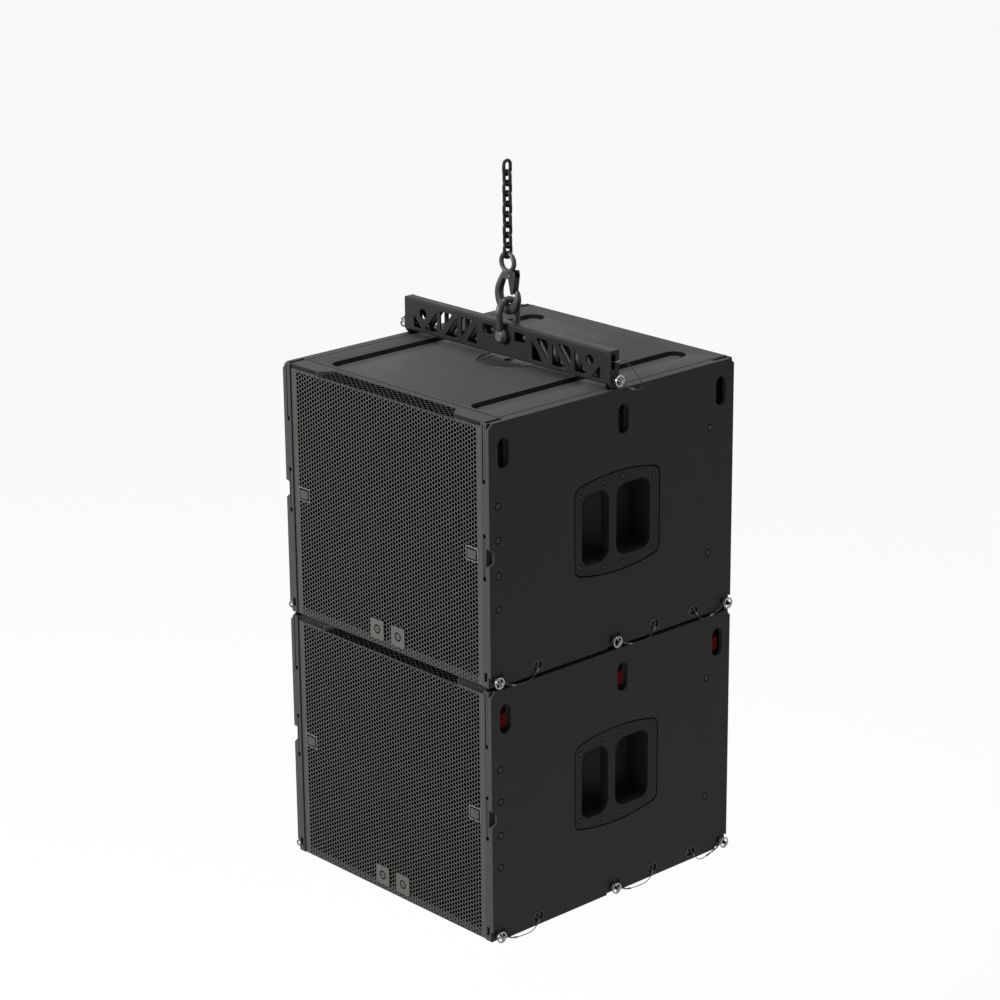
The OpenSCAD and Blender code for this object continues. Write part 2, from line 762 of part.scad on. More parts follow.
// Radius of the threaded hole for a pole, and the chamfer at its mouth
pole_hole = 10.3;
pole_mouth = 2.2;
module pole_plate() {
    color("#1e1f21")
    difference() {
        union() {
            translate([0, 0, -pole_t]) cylinder(h = pole_t - pole_edge[0], r = pole_r - 0.3);
            translate([0, 0, -pole_edge[0]])
                cylinder(h = pole_edge[0], r1 = pole_r - 0.3, r2 = pole_r - pole_edge[1]);
            translate([0, 0, -socket_depth]) cylinder(h = socket_depth - pole_t + 1, r = 30);
        }
        translate([0, 0, -socket_depth + 4]) cylinder(h = socket_depth, r = pole_hole);
        translate([0, 0, -pole_mouth])
            cylinder(h = pole_mouth, r1 = pole_hole, r2 = pole_hole + pole_mouth);
        translate([0, 0, -1]) difference() {
            cylinder(h = 2, r = 50);
            cylinder(h = 4, r = 47, center = true);
        }
        for (a = [45 : 90 : 315]) {
            rotate([0, 0, a]) translate([57, 0, -pole_t - 1]) cylinder(h = pole_t + 2, r = 2.6);
        }
    }
}
module bottom_panel() {
    color("#2a2a2c")
    box([-box_x, baffle_y, -cab_h], [box_x, half_d, -cab_h + panel_t]);
}
module skids() {
    color("#161617")
    for (s = [-1, 1]) {
        translate([s * skid_x, (skid_y[0] + skid_y[1]) / 2, -cab_h - skid_h])
            linear_extrude(skid_h) obround(skid_w, skid_y[1] - skid_y[0]);
    }
}
amp_z = -cab_h + amp_h / 2 + 35;
// Connector dish and fin recess: lowest and highest corner in the plate, and depth
dish_box = [[-180, -75], [-30, 75], 42];
fin_box = [[-6, -85], [176, 85], 20];
amp_fit = 0.3;
module back_panel() {
    color("#2a2a2c")
    difference() {
        box([-box_x, half_d - panel_t, -cab_h + panel_t], [box_x, half_d, -panel_t]);
        translate([0, 0, amp_z]) box(
            [-amp_w / 2 + amp_rim - amp_fit, half_d - panel_t - 1, -amp_h / 2 + amp_rim - amp_fit],
            [amp_w / 2 - amp_rim + amp_fit, half_d + 1, amp_h / 2 - amp_rim + amp_fit]);
    }
}
// Box of the chassis, drawn in from the outline of the plate by inset and out from it by depth
module chassis_box(inset, depth, lip) {
    box([-amp_w / 2 + inset, half_d - depth, -amp_h / 2 + inset],
        [amp_w / 2 - inset, half_d + lip, amp_h / 2 - inset]);
}
// Amplifier module: plate, connector dish, sunk cooling fins, and the chassis behind them
module amp_module() {
    color("#1c1d1f")
    translate([0, 0, amp_z]) {
        difference() {
            union() {
                difference() {
                    union() {
                        chassis_box(0, 0, amp_t);
                        chassis_box(amp_rim, amp_d, 0.5);
                    }
                    chassis_box(amp_rim + amp_wall, amp_d - amp_wall, -0.2);
                    // lead-through to the woofer
                    rod_y(half_d - amp_d - 1, half_d - amp_d + amp_wall + 1, lead_r);
                }
                for (r = [dish_box, fin_box]) {
                    box([r[0][0] - amp_wall, half_d - r[2] - amp_wall, r[0][1] - amp_wall],
                        [r[1][0] + amp_wall, half_d, r[1][1] + amp_wall]);
                }
                translate([0, half_d - amp_d + amp_wall - 0.2, 0])
                    box([core_x - core_w / 2, 0, -core_h / 2], [core_x + core_w / 2, core_d, core_h / 2]);
            }
            for (r = [dish_box, fin_box]) {
                box([r[0][0], half_d - r[2], r[0][1]], [r[1][0], half_d + amp_t + 1, r[1][1]]);
            }
        }
        // fins, from one value so that they fill the recess evenly
        for (i = [1 : fins]) {
            x = fin_box[0][0] + i * (fin_box[1][0] - fin_box[0][0]) / (fins + 1);
            box([x - fin_t / 2, half_d - fin_box[2] - 0.5, fin_box[0][1] - 0.5],
                [x + fin_t / 2, half_d + amp_t, fin_box[1][1] + 0.5]);
        }
        for (q = [[-38, 30, socket_r], [38, 30, socket_r], [0, -32, socket_r + 3]]) {
            translate([(dish_box[0][0] + dish_box[1][0]) / 2 + q[0], half_d - dish_box[2], q[1]])
            difference() {
                union() {
                    rod_y(-0.5, 14, q[2] + 2);
                    rod_y(-0.5, 3, q[2] + 6);
                }
                rod_y(3, 15, q[2]);
            }
        }
    }
}
woofer_z = -cab_h / 2;
port_x = [frame_d / 2 + 18, box_x - 10];
port_end = 34;
duct_t = 12;
duct_l = 190;
// Room between the brace and the chassis of the amplifier module
brace_gap = 27;
brace_y = half_d - amp_d - panel_t - brace_gap;
// Room around the basket in the hole of the baffle
basket_fit = 1.2;
module baffle() {
    color("#1d1d1e")
    difference() {
        box([-box_x, baffle_y, -cab_h + panel_t], [box_x, baffle_y + baffle_t, -panel_t]);
        translate([0, 0, woofer_z]) rod_y(baffle_y - 1, baffle_y + baffle_t + 1,
            basket_r + basket_fit);
        both_sides()
            box([port_x[0], baffle_y - 1, -cab_h + panel_t + port_end],
                [port_x[1], baffle_y + baffle_t + 1, -panel_t - port_end]);
    }
}
module braces() {
    back = baffle_y + baffle_t;
    color("#7a6a52") {
        both_sides()
            box([port_x[0] - duct_t, back, -cab_h + panel_t], [port_x[0], back + duct_l, -panel_t]);
        difference() {
            box([-box_x, brace_y, -cab_h + panel_t], [box_x, brace_y + panel_t, -panel_t]);
            for (x = [-1, 1], z = [-1, 1]) {
                translate([x * 155, 0, mid_z + z * 140]) plate_y(brace_y - 1,
                    brace_y + panel_t + 1) polygon(rounded(rect([-115, -100], [115, 100]), 40, 6));
            }
        }
    }
}

// ---- front ----
module ramp_plan(grow) {
    polygon([[-ramp_half_front - grow, front_y - 1], [ramp_half_front + grow, front_y - 1],
             [ramp_half_back + grow, front_y + ramp_len + grow],
             [-ramp_half_back - grow, front_y + ramp_len + grow]]);
}
ramp_lip = 2;
ramp_angle = atan2(ramp_drop - ramp_lip, ramp_len);
// Slab under the ramp's upper face, t thick
module ramp_slab(t, y1) {
    translate([0, front_y, -ramp_drop]) rotate([ramp_angle, 0, 0])
        box([-box_x, -2 * t, -t], [box_x, y1, 0]);
}
rail_post = 14;
module front_frame() {
    y0 = front_y + grille_t + 0.3;
    rim = grille_t + 0.6;
    color("#303133")
    difference() {
        union() {
            box([-box_x, y0, -panel_t], [box_x, rail_back, 0]);
            box([-box_x, y0, -cab_h], [box_x, baffle_y, -cab_h + panel_t]);
            both_sides() box([box_x - rail_post, y0, -cab_h + panel_t],
                [box_x, baffle_y, -panel_t]);
        }
        // seat of the ramp
        difference() {
            translate([0, 0, -panel_t]) linear_extrude(panel_t + 1) ramp_plan(0.5);
            translate([0, 0, -grille_t - 0.3]) ramp_slab(panel_t * 2, rail_d * 2);
        }
    }
}
perf_x = box_x - grille_border;
perf_z = [-cab_h + grille_lower_border, -ramp_drop - hex_web];
// Regular field of hexagonal holes: columns across x, flats up and down
module hex_field(x1, z0, z1, pitch, web) {
    row = pitch * 2 / sqrt(3);
    hole = (row - web) / sqrt(3);
    nx = floor((x1 - hole) / pitch);
    nz = floor((z1 - z0 - row) / row);
    for (i = [-nx : nx], j = [0 : nz]) {
        z = (z0 + z1) / 2 + (j - nz / 2) * row + (i % 2 == 0 ? 0.25 : -0.25) * row;
        translate([i * pitch, z]) circle(r = hole, $fn = 6);
    }
}
module grille() {
    y0 = front_y;
    out = box_x - 0.5;
    top = -ramp_drop;
    color("#3a3b3d") {
        plate_y(y0, y0 + grille_t) difference() {
            polygon([[-out, -cab_h + 0.5], [out, -cab_h + 0.5], [out, -0.5],
                     [ramp_half_front + 1, -0.5], [ramp_half_front + 1, top],
                     [-ramp_half_front - 1, top], [-ramp_half_front - 1, -0.5], [-out, -0.5]]);
            hex_field(perf_x, perf_z[0], perf_z[1], hex_pitch, hex_web);
        }
        difference() {
            intersection() {
                ramp_slab(grille_t, ramp_len * 1.2);
                translate([0, 0, -2 * panel_t]) linear_extrude(2 * panel_t)
                    ramp_plan(0);
                box([-box_x, front_y, -panel_t], [box_x, half_d, 0]);
            }
            translate([0, front_y, -ramp_drop]) rotate([ramp_angle, 0, 0])
                translate([0, 0, -2 * grille_t]) linear_extrude(4 * grille_t)
                    for (i = [-8 : 8]) {
                        translate([i * hex_pitch * 0.9, ramp_len / 2 - 1])
                            circle(r = 11, $fn = 6);
                    }
        }
    }
}
clip_w = 46;
clip_h = 47;
clip_x = 36;
// middle of a clip above the cabinet's underside
clip_up = 38;
// radii of the ring around the head of a clip's screw, and of its socket
clip_ring = [7.5, 11];
clip_socket = 3;
module grille_clips() {
    color("#4a4b4e")
    for (c = [0, 1]) translate([0, 0, cab_top(c) - cab_h]) {
        for (s = [-1, 1]) translate([s * clip_x, 0, clip_up]) difference() {
            plate_y(front_y - 2.3, front_y - 0.3)
                polygon(rounded(rect([-clip_w / 2, -clip_h / 2], [clip_w / 2, clip_h / 2]), 2, 3));
            difference() {
                rod_y(front_y - 3, front_y - 0.8, clip_ring[1]);
                rod_y(front_y - 4, front_y, clip_ring[0]);
            }
            rod_y(front_y - 3, front_y - 0.8, clip_socket);
        }
    }
}

// ---- woofer ----
vc_r = 50;
roll_mid = cone_d / 2 + cone_gap + roll_r;
gap_r = 2.5;
cone_back = 62;
// bore of the mounting ring, just inside the outer edge of the surround
ring_bore = roll_mid + roll_r - 0.5;
basket_wall = 6;
basket_r = ring_bore + 2 + basket_wall;
magnet_r = 104;
motor_h = 62;
plate_h = 5;
cap_h = 10;
module woofer_frame() {
    y0 = baffle_y;
    back = y0 + woofer_depth;
    motor_y = back - motor_h;
    color("#3c3d40")
    translate([0, 0, woofer_z]) {
        // mounting ring and basket
        difference() {
            union() {
                rod_y(y0 - 7, y0, frame_d / 2);
                translate([0, y0, 0]) rotate([-90, 0, 0])
                    cylinder(h = motor_y - y0, r1 = basket_r, r2 = magnet_r);
            }
            rod_y(y0 - 8, y0 + 0.1, ring_bore);
            translate([0, y0 - 0.1, 0]) rotate([-90, 0, 0])
                cylinder(h = motor_y - y0 + 0.2, r1 = basket_r - basket_wall,
                    r2 = magnet_r - basket_wall);
            for (a = [0 : 45 : 315]) rotate([0, a, 0])
                translate([0, 0, (magnet_r + basket_r) / 2]) plate_y(y0 + 28, motor_y - 14)
                    square([72, basket_r - magnet_r + 2 * basket_wall], center = true);
        }
        // magnet with its air gap
        difference() {
            union() {
                rod_y(motor_y, motor_y + plate_h, magnet_r);
                rod_y(motor_y + plate_h, back - cap_h, motor_r);
                rod_y(back - cap_h, back, motor_r - basket_wall);
            }
            difference() {
                rod_y(motor_y - 1, back - cap_h - 4, vc_r + gap_r);
                rod_y(motor_y - 2, back - cap_h - 3, vc_r - gap_r - 1);
            }
        }
        // roll surround
        translate([0, y0 - 4, 0]) rotate([90, 0, 0]) rotate_extrude() difference() {
            translate([roll_mid, 0]) circle(r = roll_r, $fn = 32);
            translate([roll_mid, 0]) circle(r = roll_r - 2, $fn = 32);
            translate([cone_d / 2 - 2, -10]) square([3 * roll_r, 10]);
        }
    }
}
cap_sink = 22;
cap_ball = 100;
module woofer_cone() {
    y0 = baffle_y - 4;
    t = 2.5;
    color("#222224")
    translate([0, y0, woofer_z]) rotate([-90, 0, 0]) {
        rotate_extrude() polygon([
            [cone_d / 2, 0], [vc_r, cone_back], [vc_r, cone_back + 60],
            [vc_r - 1, cone_back + 60], [vc_r - 1, cone_back - 1], [cone_d / 2 - t, 0]]);
        // dust cap
        translate([0, 0, cone_back - cap_sink]) difference() {
            intersection() {
                translate([0, 0, cap_ball - 16]) sphere(r = cap_ball, $fn = 96);
                translate([0, 0, -17]) cylinder(h = 17 + 14, r = 76);
            }
            translate([0, 0, cap_ball - 16]) sphere(r = cap_ball - 2, $fn = 96);
        }
    }
}

// ---- lanyards and their anchors ----
post_shift = 4;
post_end = half_w - 0.5;
module lanyard_anchors() {
    color("#303236")
    for (c = [0, 1], s = [0, 1], y = anchor_ys) mirror([s, 0, 0])
        translate([0, y, cab_top(c) - cab_h + anchor_up]) {
            difference() {
                plate_x(half_w - cup_depth, half_w + 1) obround(anchor_w - 0.6, anchor_h - 0.6);
                plate_x(half_w - cup_depth + 2, half_w + 2) obround(anchor_w - 6, anchor_h - 6);
            }
            translate([0, post_shift, 0]) rod_x(half_w - cup_depth + 2, post_end, 3.5);
        }
}
// Route of a lanyard from the pull ring to its anchor post: [|x|, y, height above the underside]
function lanyard_route(p) =
    let (d = link_dirs[p], y0 = pin_ys[p], y1 = anchor_ys[p] + post_shift)
    [[pin_seat + ring_out, y0 + d * (ring_d + lanyard_d + 2 * hang_gap) / 2, pin_up - cab_gap],
     [half_w + 6, y0 + d * 25, 4],
     [half_w + 2.4, y0 + d * 55, -7],
     [half_w + 2.2, y1 - d * 27, -8],
     [half_w + 3.4, y1 - d * 9, 6],
     [post_end + lanyard_d / 2, y1, anchor_up - 1]];
// Route of a fly bar lanyard from the rod in the end plate to the pull ring, above the cabinet
bar_route = [
    [(tube_x + end_x) / 2 + 2 + hang_gap, eye_hole_y, bar_up + eye_hole_up],
    [352, 4, bar_up + eye_hole_up], [356, 19, 66], [357, 36, 50], [357, 58, 27], [357, 75, 0],
    [357, 71, -12], [358, 40, -4], [end_x + ring_out, 11.5, 13]
];
module pin_lanyards() {
    color("#55585c") {
        for (c = [0, 1], s = [-1, 1], p = [0 : 2]) {
            cord([for (q = lanyard_route(p)) [s * q[0], q[1], cab_top(c) - cab_h + q[2]]],
                lanyard_d, 8);
        }
        for (s = [-1, 1]) {
            cord([for (q = bar_route) [s * q[0], q[1], upper_top + q[2]]], lanyard_d, 8);
        }
    }
}

// ---- drawing ----
module at_cab(c) {
    translate([0, 0, cab_top(c)]) children();
}
hoist_chain();
hook_body();
hook_latch();
hook_latch_rivet();
shackle_bow();
shackle_pin();
fly_bar_tube();
fly_bar_end_plates();
fly_bar_bush();
bar_pin(-1);  // bar_pin_left
bar_pin(1);  // bar_pin_right
stowed_link(0, -1);  // link_front_left
stowed_link(0, 1);  // link_front_right
stowed_link(2, -1);  // link_rear_left
stowed_link(2, 1);  // link_rear_right
upper_middle_links();
lower_links();
pin_lanyards();
lanyard_anchors();
grille_clips();
for (c = [0, 1]) {
    at_cab(c) side_panels();
    at_cab(c) top_panel();
    at_cab(c) bottom_panel();
    at_cab(c) back_panel();
    at_cab(c) front_frame();
    at_cab(c) baffle();
    at_cab(c) grille();
    at_cab(c) braces();
    at_cab(c) woofer_frame();
    at_cab(c) woofer_cone();
    at_cab(c) handles();
    at_cab(c) amp_module();
    at_cab(c) skids();
    at_cab(c) pole_plate();
    for (p = [0 : 2], s = sides) {
        cab_pin(c, p, s[1]);
    }
}
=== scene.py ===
"""Looks of a flown line array: two bass cabinets under a fly bar, hung by hook and chain."""

import json
import logging
import math
from dataclasses import dataclass, field
from enum import Enum
from typing import Iterable, Sequence

import bmesh
import bpy
from bmesh.types import BMesh, BMVert
from bpy.types import Material, Node, NodeSocket, NodeTree, Object, World
from mathutils import Matrix, Vector

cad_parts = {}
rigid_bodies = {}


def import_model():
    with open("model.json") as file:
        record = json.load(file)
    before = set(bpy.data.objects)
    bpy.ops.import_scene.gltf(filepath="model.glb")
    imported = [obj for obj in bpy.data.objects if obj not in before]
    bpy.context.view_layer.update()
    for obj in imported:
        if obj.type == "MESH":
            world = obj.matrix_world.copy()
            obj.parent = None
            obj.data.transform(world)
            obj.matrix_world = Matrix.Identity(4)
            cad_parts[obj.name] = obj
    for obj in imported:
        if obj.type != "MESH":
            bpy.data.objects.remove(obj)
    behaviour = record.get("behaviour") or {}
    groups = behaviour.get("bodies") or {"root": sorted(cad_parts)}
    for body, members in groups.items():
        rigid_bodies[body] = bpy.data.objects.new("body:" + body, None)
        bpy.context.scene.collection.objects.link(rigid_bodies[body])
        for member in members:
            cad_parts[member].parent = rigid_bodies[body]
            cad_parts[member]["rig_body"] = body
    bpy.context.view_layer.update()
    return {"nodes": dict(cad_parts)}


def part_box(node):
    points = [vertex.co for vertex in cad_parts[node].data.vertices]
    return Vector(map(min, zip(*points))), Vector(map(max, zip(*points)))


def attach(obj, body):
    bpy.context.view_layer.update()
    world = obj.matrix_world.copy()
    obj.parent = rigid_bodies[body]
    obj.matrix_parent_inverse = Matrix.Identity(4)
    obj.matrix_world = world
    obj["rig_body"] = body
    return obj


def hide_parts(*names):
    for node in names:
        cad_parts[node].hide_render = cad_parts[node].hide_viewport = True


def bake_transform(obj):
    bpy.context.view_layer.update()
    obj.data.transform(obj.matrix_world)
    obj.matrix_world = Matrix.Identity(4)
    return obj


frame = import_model()

log = logging.getLogger("line_array")
MM = 0.001
CABINETS = ("upper", "lower")
SIDES = {"left": -1.0, "right": 1.0}
PLACES = ("front", "middle", "rear")
Pair = tuple[float, float]
Triple = tuple[float, float, float]


# ---- colour and nodes


def linear(code: str) -> tuple[float, float, float, float]:
    """Turns an sRGB hex colour into linear RGBA.

    Args:
        code: colour such as "#1c1c1d".

    Returns:
        Linear red, green, blue and an alpha of 1.
    """
    parts = [int(code[i:i + 2], 16) / 255 for i in (1, 3, 5)]
    rgb = [c / 12.92 if c <= 0.04045 else ((c + 0.055) / 1.055) ** 2.4 for c in parts]
    return (rgb[0], rgb[1], rgb[2], 1.0)


def put(tree: NodeTree, kind: str, inputs: dict | None = None,
        **settings: object) -> Node:
    """Adds a node, sets its properties and fills its inputs.

    Args:
        tree: node tree that gets the node.
        kind: class name of the node.
        inputs: input name or index to a value or to another node's output.
        settings: properties of the node.

    Returns:
        The new node.
    """
    node = tree.nodes.new(kind)
    for key, value in settings.items():
        setattr(node, key, value)
    for key, value in (inputs or {}).items():
        socket = node.inputs[key]
        if isinstance(value, NodeSocket):
            tree.links.new(value, socket)
        else:
            socket.default_value = value
    return node


def bare(owner: Material | World) -> NodeTree:
    """Gives the node tree of a material or a world, emptied."""
    owner.use_nodes = True
    owner.node_tree.nodes.clear()
    return owner.node_tree


class Surface(Enum):
    """How a surface was made, which sets the kind of its fine relief."""

    SPRAYED = "orange peel or structured paint"
    MOULDED = "moulded grain"
    FORGED = "forged skin"
    POLISHED = "polished metal"
    WOVEN = "wire rope"
    GRAINED = "wood grain"


SPRAYED, MOULDED, FORGED, POLISHED, WOVEN, GRAINED = Surface

# Plywood's grain is squeezed into layers along Z; the rest holds for every finish
WOOD_SQUEEZE = (1.0, 1.0, 12.0)
CLOUD_DETAIL = 3.0
BUMP_STRENGTH = 0.6
SMOOTHEST = 0.02


@dataclass(frozen=True)
class Finish:
    """One real finish: colour, gloss and relief, with its grain in millimetres.

    The clouds, of the size cloud_mm, blend colour with shade and spread the roughness.
    """

    name: str
    surface: Surface
    colour: str
    shade: str
    roughness: float
    grain_mm: float
    relief_mm: float
    metallic: float = 0.0
    specular: float = 0.5
    spread: float = 0.12
    cloud_mm: float = 60.0

    def make(self) -> Material:
        """Builds the material once and returns it."""
        known = bpy.data.materials.get(self.name)
        if known:
            return known
        material = bpy.data.materials.new(self.name)
        tree = bare(material)
        place = put(tree, "ShaderNodeTexCoord").outputs["Object"]
        if self.surface is GRAINED:
            place = put(tree, "ShaderNodeMapping", {"Vector": place, "Scale": WOOD_SQUEEZE}
                        ).outputs["Vector"]
        cloud = put(tree, "ShaderNodeTexNoise", {
            "Vector": place, "Scale": 1 / (self.cloud_mm * MM), "Detail": CLOUD_DETAIL}
                    ).outputs["Fac"]
        fine = self._fine(tree, place)
        tint = put(tree, "ShaderNodeMath", {0: cloud, 1: fine}, operation="MULTIPLY")
        mix = put(tree, "ShaderNodeMix", {"Factor": tint.outputs[0], 6: linear(self.shade),
                                          7: linear(self.colour)}, data_type="RGBA")
        wear = put(tree, "ShaderNodeMapRange", {
            "Value": cloud, "To Min": max(SMOOTHEST, self.roughness - self.spread),
            "To Max": min(1.0, self.roughness + self.spread)})
        bump = put(tree, "ShaderNodeBump", {"Height": fine, "Strength": BUMP_STRENGTH,
                                            "Distance": self.relief_mm * MM})
        shader = put(tree, "ShaderNodeBsdfPrincipled", {
            "Base Color": mix.outputs[2], "Roughness": wear.outputs[0],
            "Normal": bump.outputs[0], "Metallic": self.metallic,
            "Specular IOR Level": self.specular})
        put(tree, "ShaderNodeOutputMaterial", {"Surface": shader.outputs[0]})
        return material

    def _fine(self, tree: NodeTree, place: NodeSocket) -> NodeSocket:
        """Builds the fine relief of this surface.

        Args:
            tree: tree of the material.
            place: position on the piece, in metres.

        Returns:
            Height of the relief, from 0 to 1.
        """
        size = {"Vector": place, "Scale": 1 / (self.grain_mm * MM)}
        if self.surface is MOULDED:
            return put(tree, "ShaderNodeTexVoronoi", size, feature="SMOOTH_F1"
                       ).outputs["Distance"]
        if self.surface is WOVEN:
            return put(tree, "ShaderNodeTexWave", {**size, "Distortion": 0.5},
                       bands_direction="DIAGONAL").outputs["Fac"]
        detail = {FORGED: 4.0, POLISHED: 1.0}.get(self.surface, 2.0)
        return put(tree, "ShaderNodeTexNoise", {**size, "Detail": detail, "Roughness": 0.55}
                   ).outputs["Fac"]


# Water-based structured paint on plywood: a close, even pimple that keeps the black dull
CABINET_PAINT = Finish(
    "structured_paint", SPRAYED, "#434343", "#393939", 0.62, 3.2, 0.35, specular=0.08)
# Powder coat on thin perforated steel: finer and a little lighter than the wood's paint
GRILLE_POWDER = Finish(
    "grille_powder_coat", SPRAYED, "#585653", "#4d4b49", 0.5, 1.6, 0.08, specular=0.15)
# Unpunched border of the grille, where the sheet shows its full colour
GRILLE_BORDER = Finish(
    "grille_border_coat", SPRAYED, "#484848", "#3e3e3e", 0.5, 1.6, 0.08, specular=0.12)
# Coat of the ramp, darkened to paint the shade that lies on the sloping ramp
GRILLE_RAMP_PAINTED_SHADE = Finish(
    "grille_ramp_painted_shade", SPRAYED, "#3d3c3a", "#333230", 0.6, 1.6, 0.08, specular=0.05)
# The walls of the punched holes are darkened, as painted shade inside the holes
GRILLE_HOLE_SHADE = Finish(
    "grille_hole_walls_painted_shade", SPRAYED, "#171717", "#111111", 0.7, 1.6, 0.05, specular=0.04)
# Dark bead along the grille's upper edge, whose colour paints the shade along that edge
SEAL_PAINTED_SHADE = Finish("seal_painted_shade", MOULDED, "#202020", "#191919", 0.7, 1.2, 0.05, specular=0.08)
# Black joint filler in the seams of the plywood; the same black also paints the shade in the gap
# around the handle plates, in screw sockets, round screw heads and in the recesses round the clip
# fasteners
SEAM_AND_SHADE_BLACK = Finish("seam_filler_and_painted_shade", MOULDED, "#0c0c0c", "#070707", 0.9, 1.2, 0.05, specular=0.0)
# Dark band on the slopes of the runner grooves, which paints the shade in the grooves
GROOVE_PAINTED_SHADE = Finish(
    "groove_painted_shade", MOULDED, "#161616", "#0f0f0f", 0.9, 1.2, 0.05, specular=0.01)
# Open-cell foam behind the grille swallows the light, so the holes look black
GRILLE_FOAM = Finish("acoustic_foam", MOULDED, "#030303", "#010101", 1.0, 2.5, 0.6, specular=0.0)
# Moulded ABS of the handle plates: fine leather-like grain, slightly glossier than the paint
HANDLE_ABS = Finish("moulded_abs", MOULDED, "#343434", "#2b2b2b", 0.5, 1.4, 0.12, specular=0.08)
# Satin powder coat on the steel of the fly bar and the end plates
BAR_POWDER = Finish(
    "satin_powder_coat", SPRAYED, "#242424", "#1a1a1a", 0.46, 1.8, 0.10, specular=0.16)
# Oiled black oxide on hoist chain: dark, with small bright glints on the crowns
CHAIN_OXIDE = Finish(
    "black_oxide_chain", FORGED, "#1b1b1c", "#0d0d0e", 0.36, 2.0, 0.15, metallic=0.55)
# Painted drop forging of the hook: soft mottling of the die skin under satin paint
HOOK_FORGING = Finish(
    "painted_forging", FORGED, "#3b3b3c", "#262627", 0.42, 3.0, 0.25, specular=0.45)
# The shackle's forging is a shade lighter where it rubs
SHACKLE_FORGING = Finish(
    "satin_forging", FORGED, "#434345", "#303032", 0.38, 3.0, 0.2, metallic=0.25, specular=0.45)
# Blackened spring steel sheet of the latch
LATCH_STEEL = Finish(
    "blackened_sheet", POLISHED, "#3a3a3c", "#2a2a2c", 0.34, 1.5, 0.05, metallic=0.6)
# Zinc plate on pins, rivets and bushes
ZINC_PLATE = Finish("zinc_plate", POLISHED, "#8d8f92", "#6f7174", 0.34, 1.2, 0.04, metallic=1.0)
# Polished chrome of the lock pins, the brightest spots of the whole object; the small white and
# dark patches of its colour are a painted reflection of a studio with dark parts
CHROME_PAINTED_REFLECTION = Finish("chrome_painted_reflection", POLISHED, "#ffffff", "#2c2c2e", 0.16, 3.0, 0.02,
                    metallic=1.0, spread=0.05, cloud_mm=9.0)
# Black plate of the links that slide in the side panels, darkened to paint the shade inside the
# side panels' windows
LINK_PAINTED_SHADE = Finish(
    "link_steel_painted_shade", SPRAYED, "#0c0c0c", "#070707", 0.5, 1.6, 0.08, specular=0.02)
# Plastic-coated wire rope of the lanyards
LANYARD_WIRE = Finish(
    "coated_wire_rope", WOVEN, "#4c4c4e", "#2a2a2c", 0.4, 1.3, 0.15, metallic=0.4)
# Heat-shrink sleeve next to the pull ring
LANYARD_SLEEVE = Finish("shrink_sleeve", MOULDED, "#121212", "#0b0b0b", 0.5, 1.0, 0.05)
# Pressed aluminium ferrule that closes the loop of a lanyard
FERRULE_ALLOY = Finish(
    "pressed_aluminium", POLISHED, "#77797b", "#55575a", 0.36, 1.0, 0.05, metallic=1.0)
# Die-cast cup of the lanyard anchors
ANCHOR_CAST = Finish("anchor_casting", FORGED, "#2f2f30", "#202021", 0.45, 1.4, 0.08, specular=0.4)
# Oxide-black steel of screws, with sharp small highlights
SCREW_BLACK = Finish(
    "black_screw_steel", POLISHED, "#363637", "#29292a", 0.4, 0.8, 0.03, metallic=0.6)
# Satin plates on the grille, without any words
PLATE_SATIN = Finish("satin_plate", SPRAYED, "#434344", "#3a3a3b", 0.42, 1.5, 0.05, specular=0.2)
# Thin bright rim around the plates
PLATE_RIM = Finish("plate_rim", POLISHED, "#77777a", "#5c5c5f", 0.4, 1.0, 0.03, metallic=0.4)
# Birch plywood of the inner braces
BIRCH_PLY = Finish("birch_plywood", GRAINED, "#c6a674", "#a98450", 0.6, 6.0, 0.1)
# Stove-enamelled steel basket of the woofer
BASKET_ENAMEL = Finish("basket_enamel", SPRAYED, "#262627", "#1b1b1c", 0.38, 2.0, 0.08)
# Pressed paper pulp of the cone
CONE_PULP = Finish("paper_pulp", SPRAYED, "#1a1a1a", "#101010", 0.85, 1.2, 0.2, specular=0.2)
# Hard polyethylene runners
RUNNER_PE = Finish("runner_polyethylene", MOULDED, "#141414", "#0d0d0d", 0.42, 1.5, 0.1)
# Powder-coated plate of the amplifier module at the rear
AMP_METAL = Finish(
    "amplifier_powder_coat", SPRAYED, "#1f2021", "#151516", 0.46, 1.6, 0.08, specular=0.35)
# Painted steel of the pole plate in the top
POLE_STEEL = Finish(
    "pole_plate_steel", SPRAYED, "#202021", "#151516", 0.48, 1.8, 0.1, specular=0.3)
# Colour of the red enamel on the grip tabs of the links
TAB_RED = "#6a1013"


def link_with_tab() -> Material:
    """Builds the link material: black plate, darkened as painted shade, with red enamel on the
    raised grip tab only.
    """
    tab_starts = 338.6 * MM
    material = LINK_PAINTED_SHADE.make().copy()
    material.name = "link_steel_red_tab"
    tree = material.node_tree
    shader = next(n for n in tree.nodes if n.type == "BSDF_PRINCIPLED")
    colour = shader.inputs["Base Color"]
    black = colour.links[0].from_socket
    place = put(tree, "ShaderNodeTexCoord").outputs["Object"]
    across = put(tree, "ShaderNodeSeparateXYZ", {0: place}).outputs["X"]
    away = put(tree, "ShaderNodeMath", {0: across}, operation="ABSOLUTE").outputs[0]
    on_tab = put(tree, "ShaderNodeMath", {0: away, 1: tab_starts},
                 operation="GREATER_THAN").outputs[0]
    mix = put(tree, "ShaderNodeMix", {"Factor": on_tab, 6: black, 7: linear(TAB_RED)},
              data_type="RGBA")
    tree.links.new(mix.outputs[2], colour)
    return material


# ---- mesh helpers

# Points nearer than this, in metres, are one point; edges flatter than this look smooth
TOUCHING = 1e-6
SMOOTH_DEG = 35.0


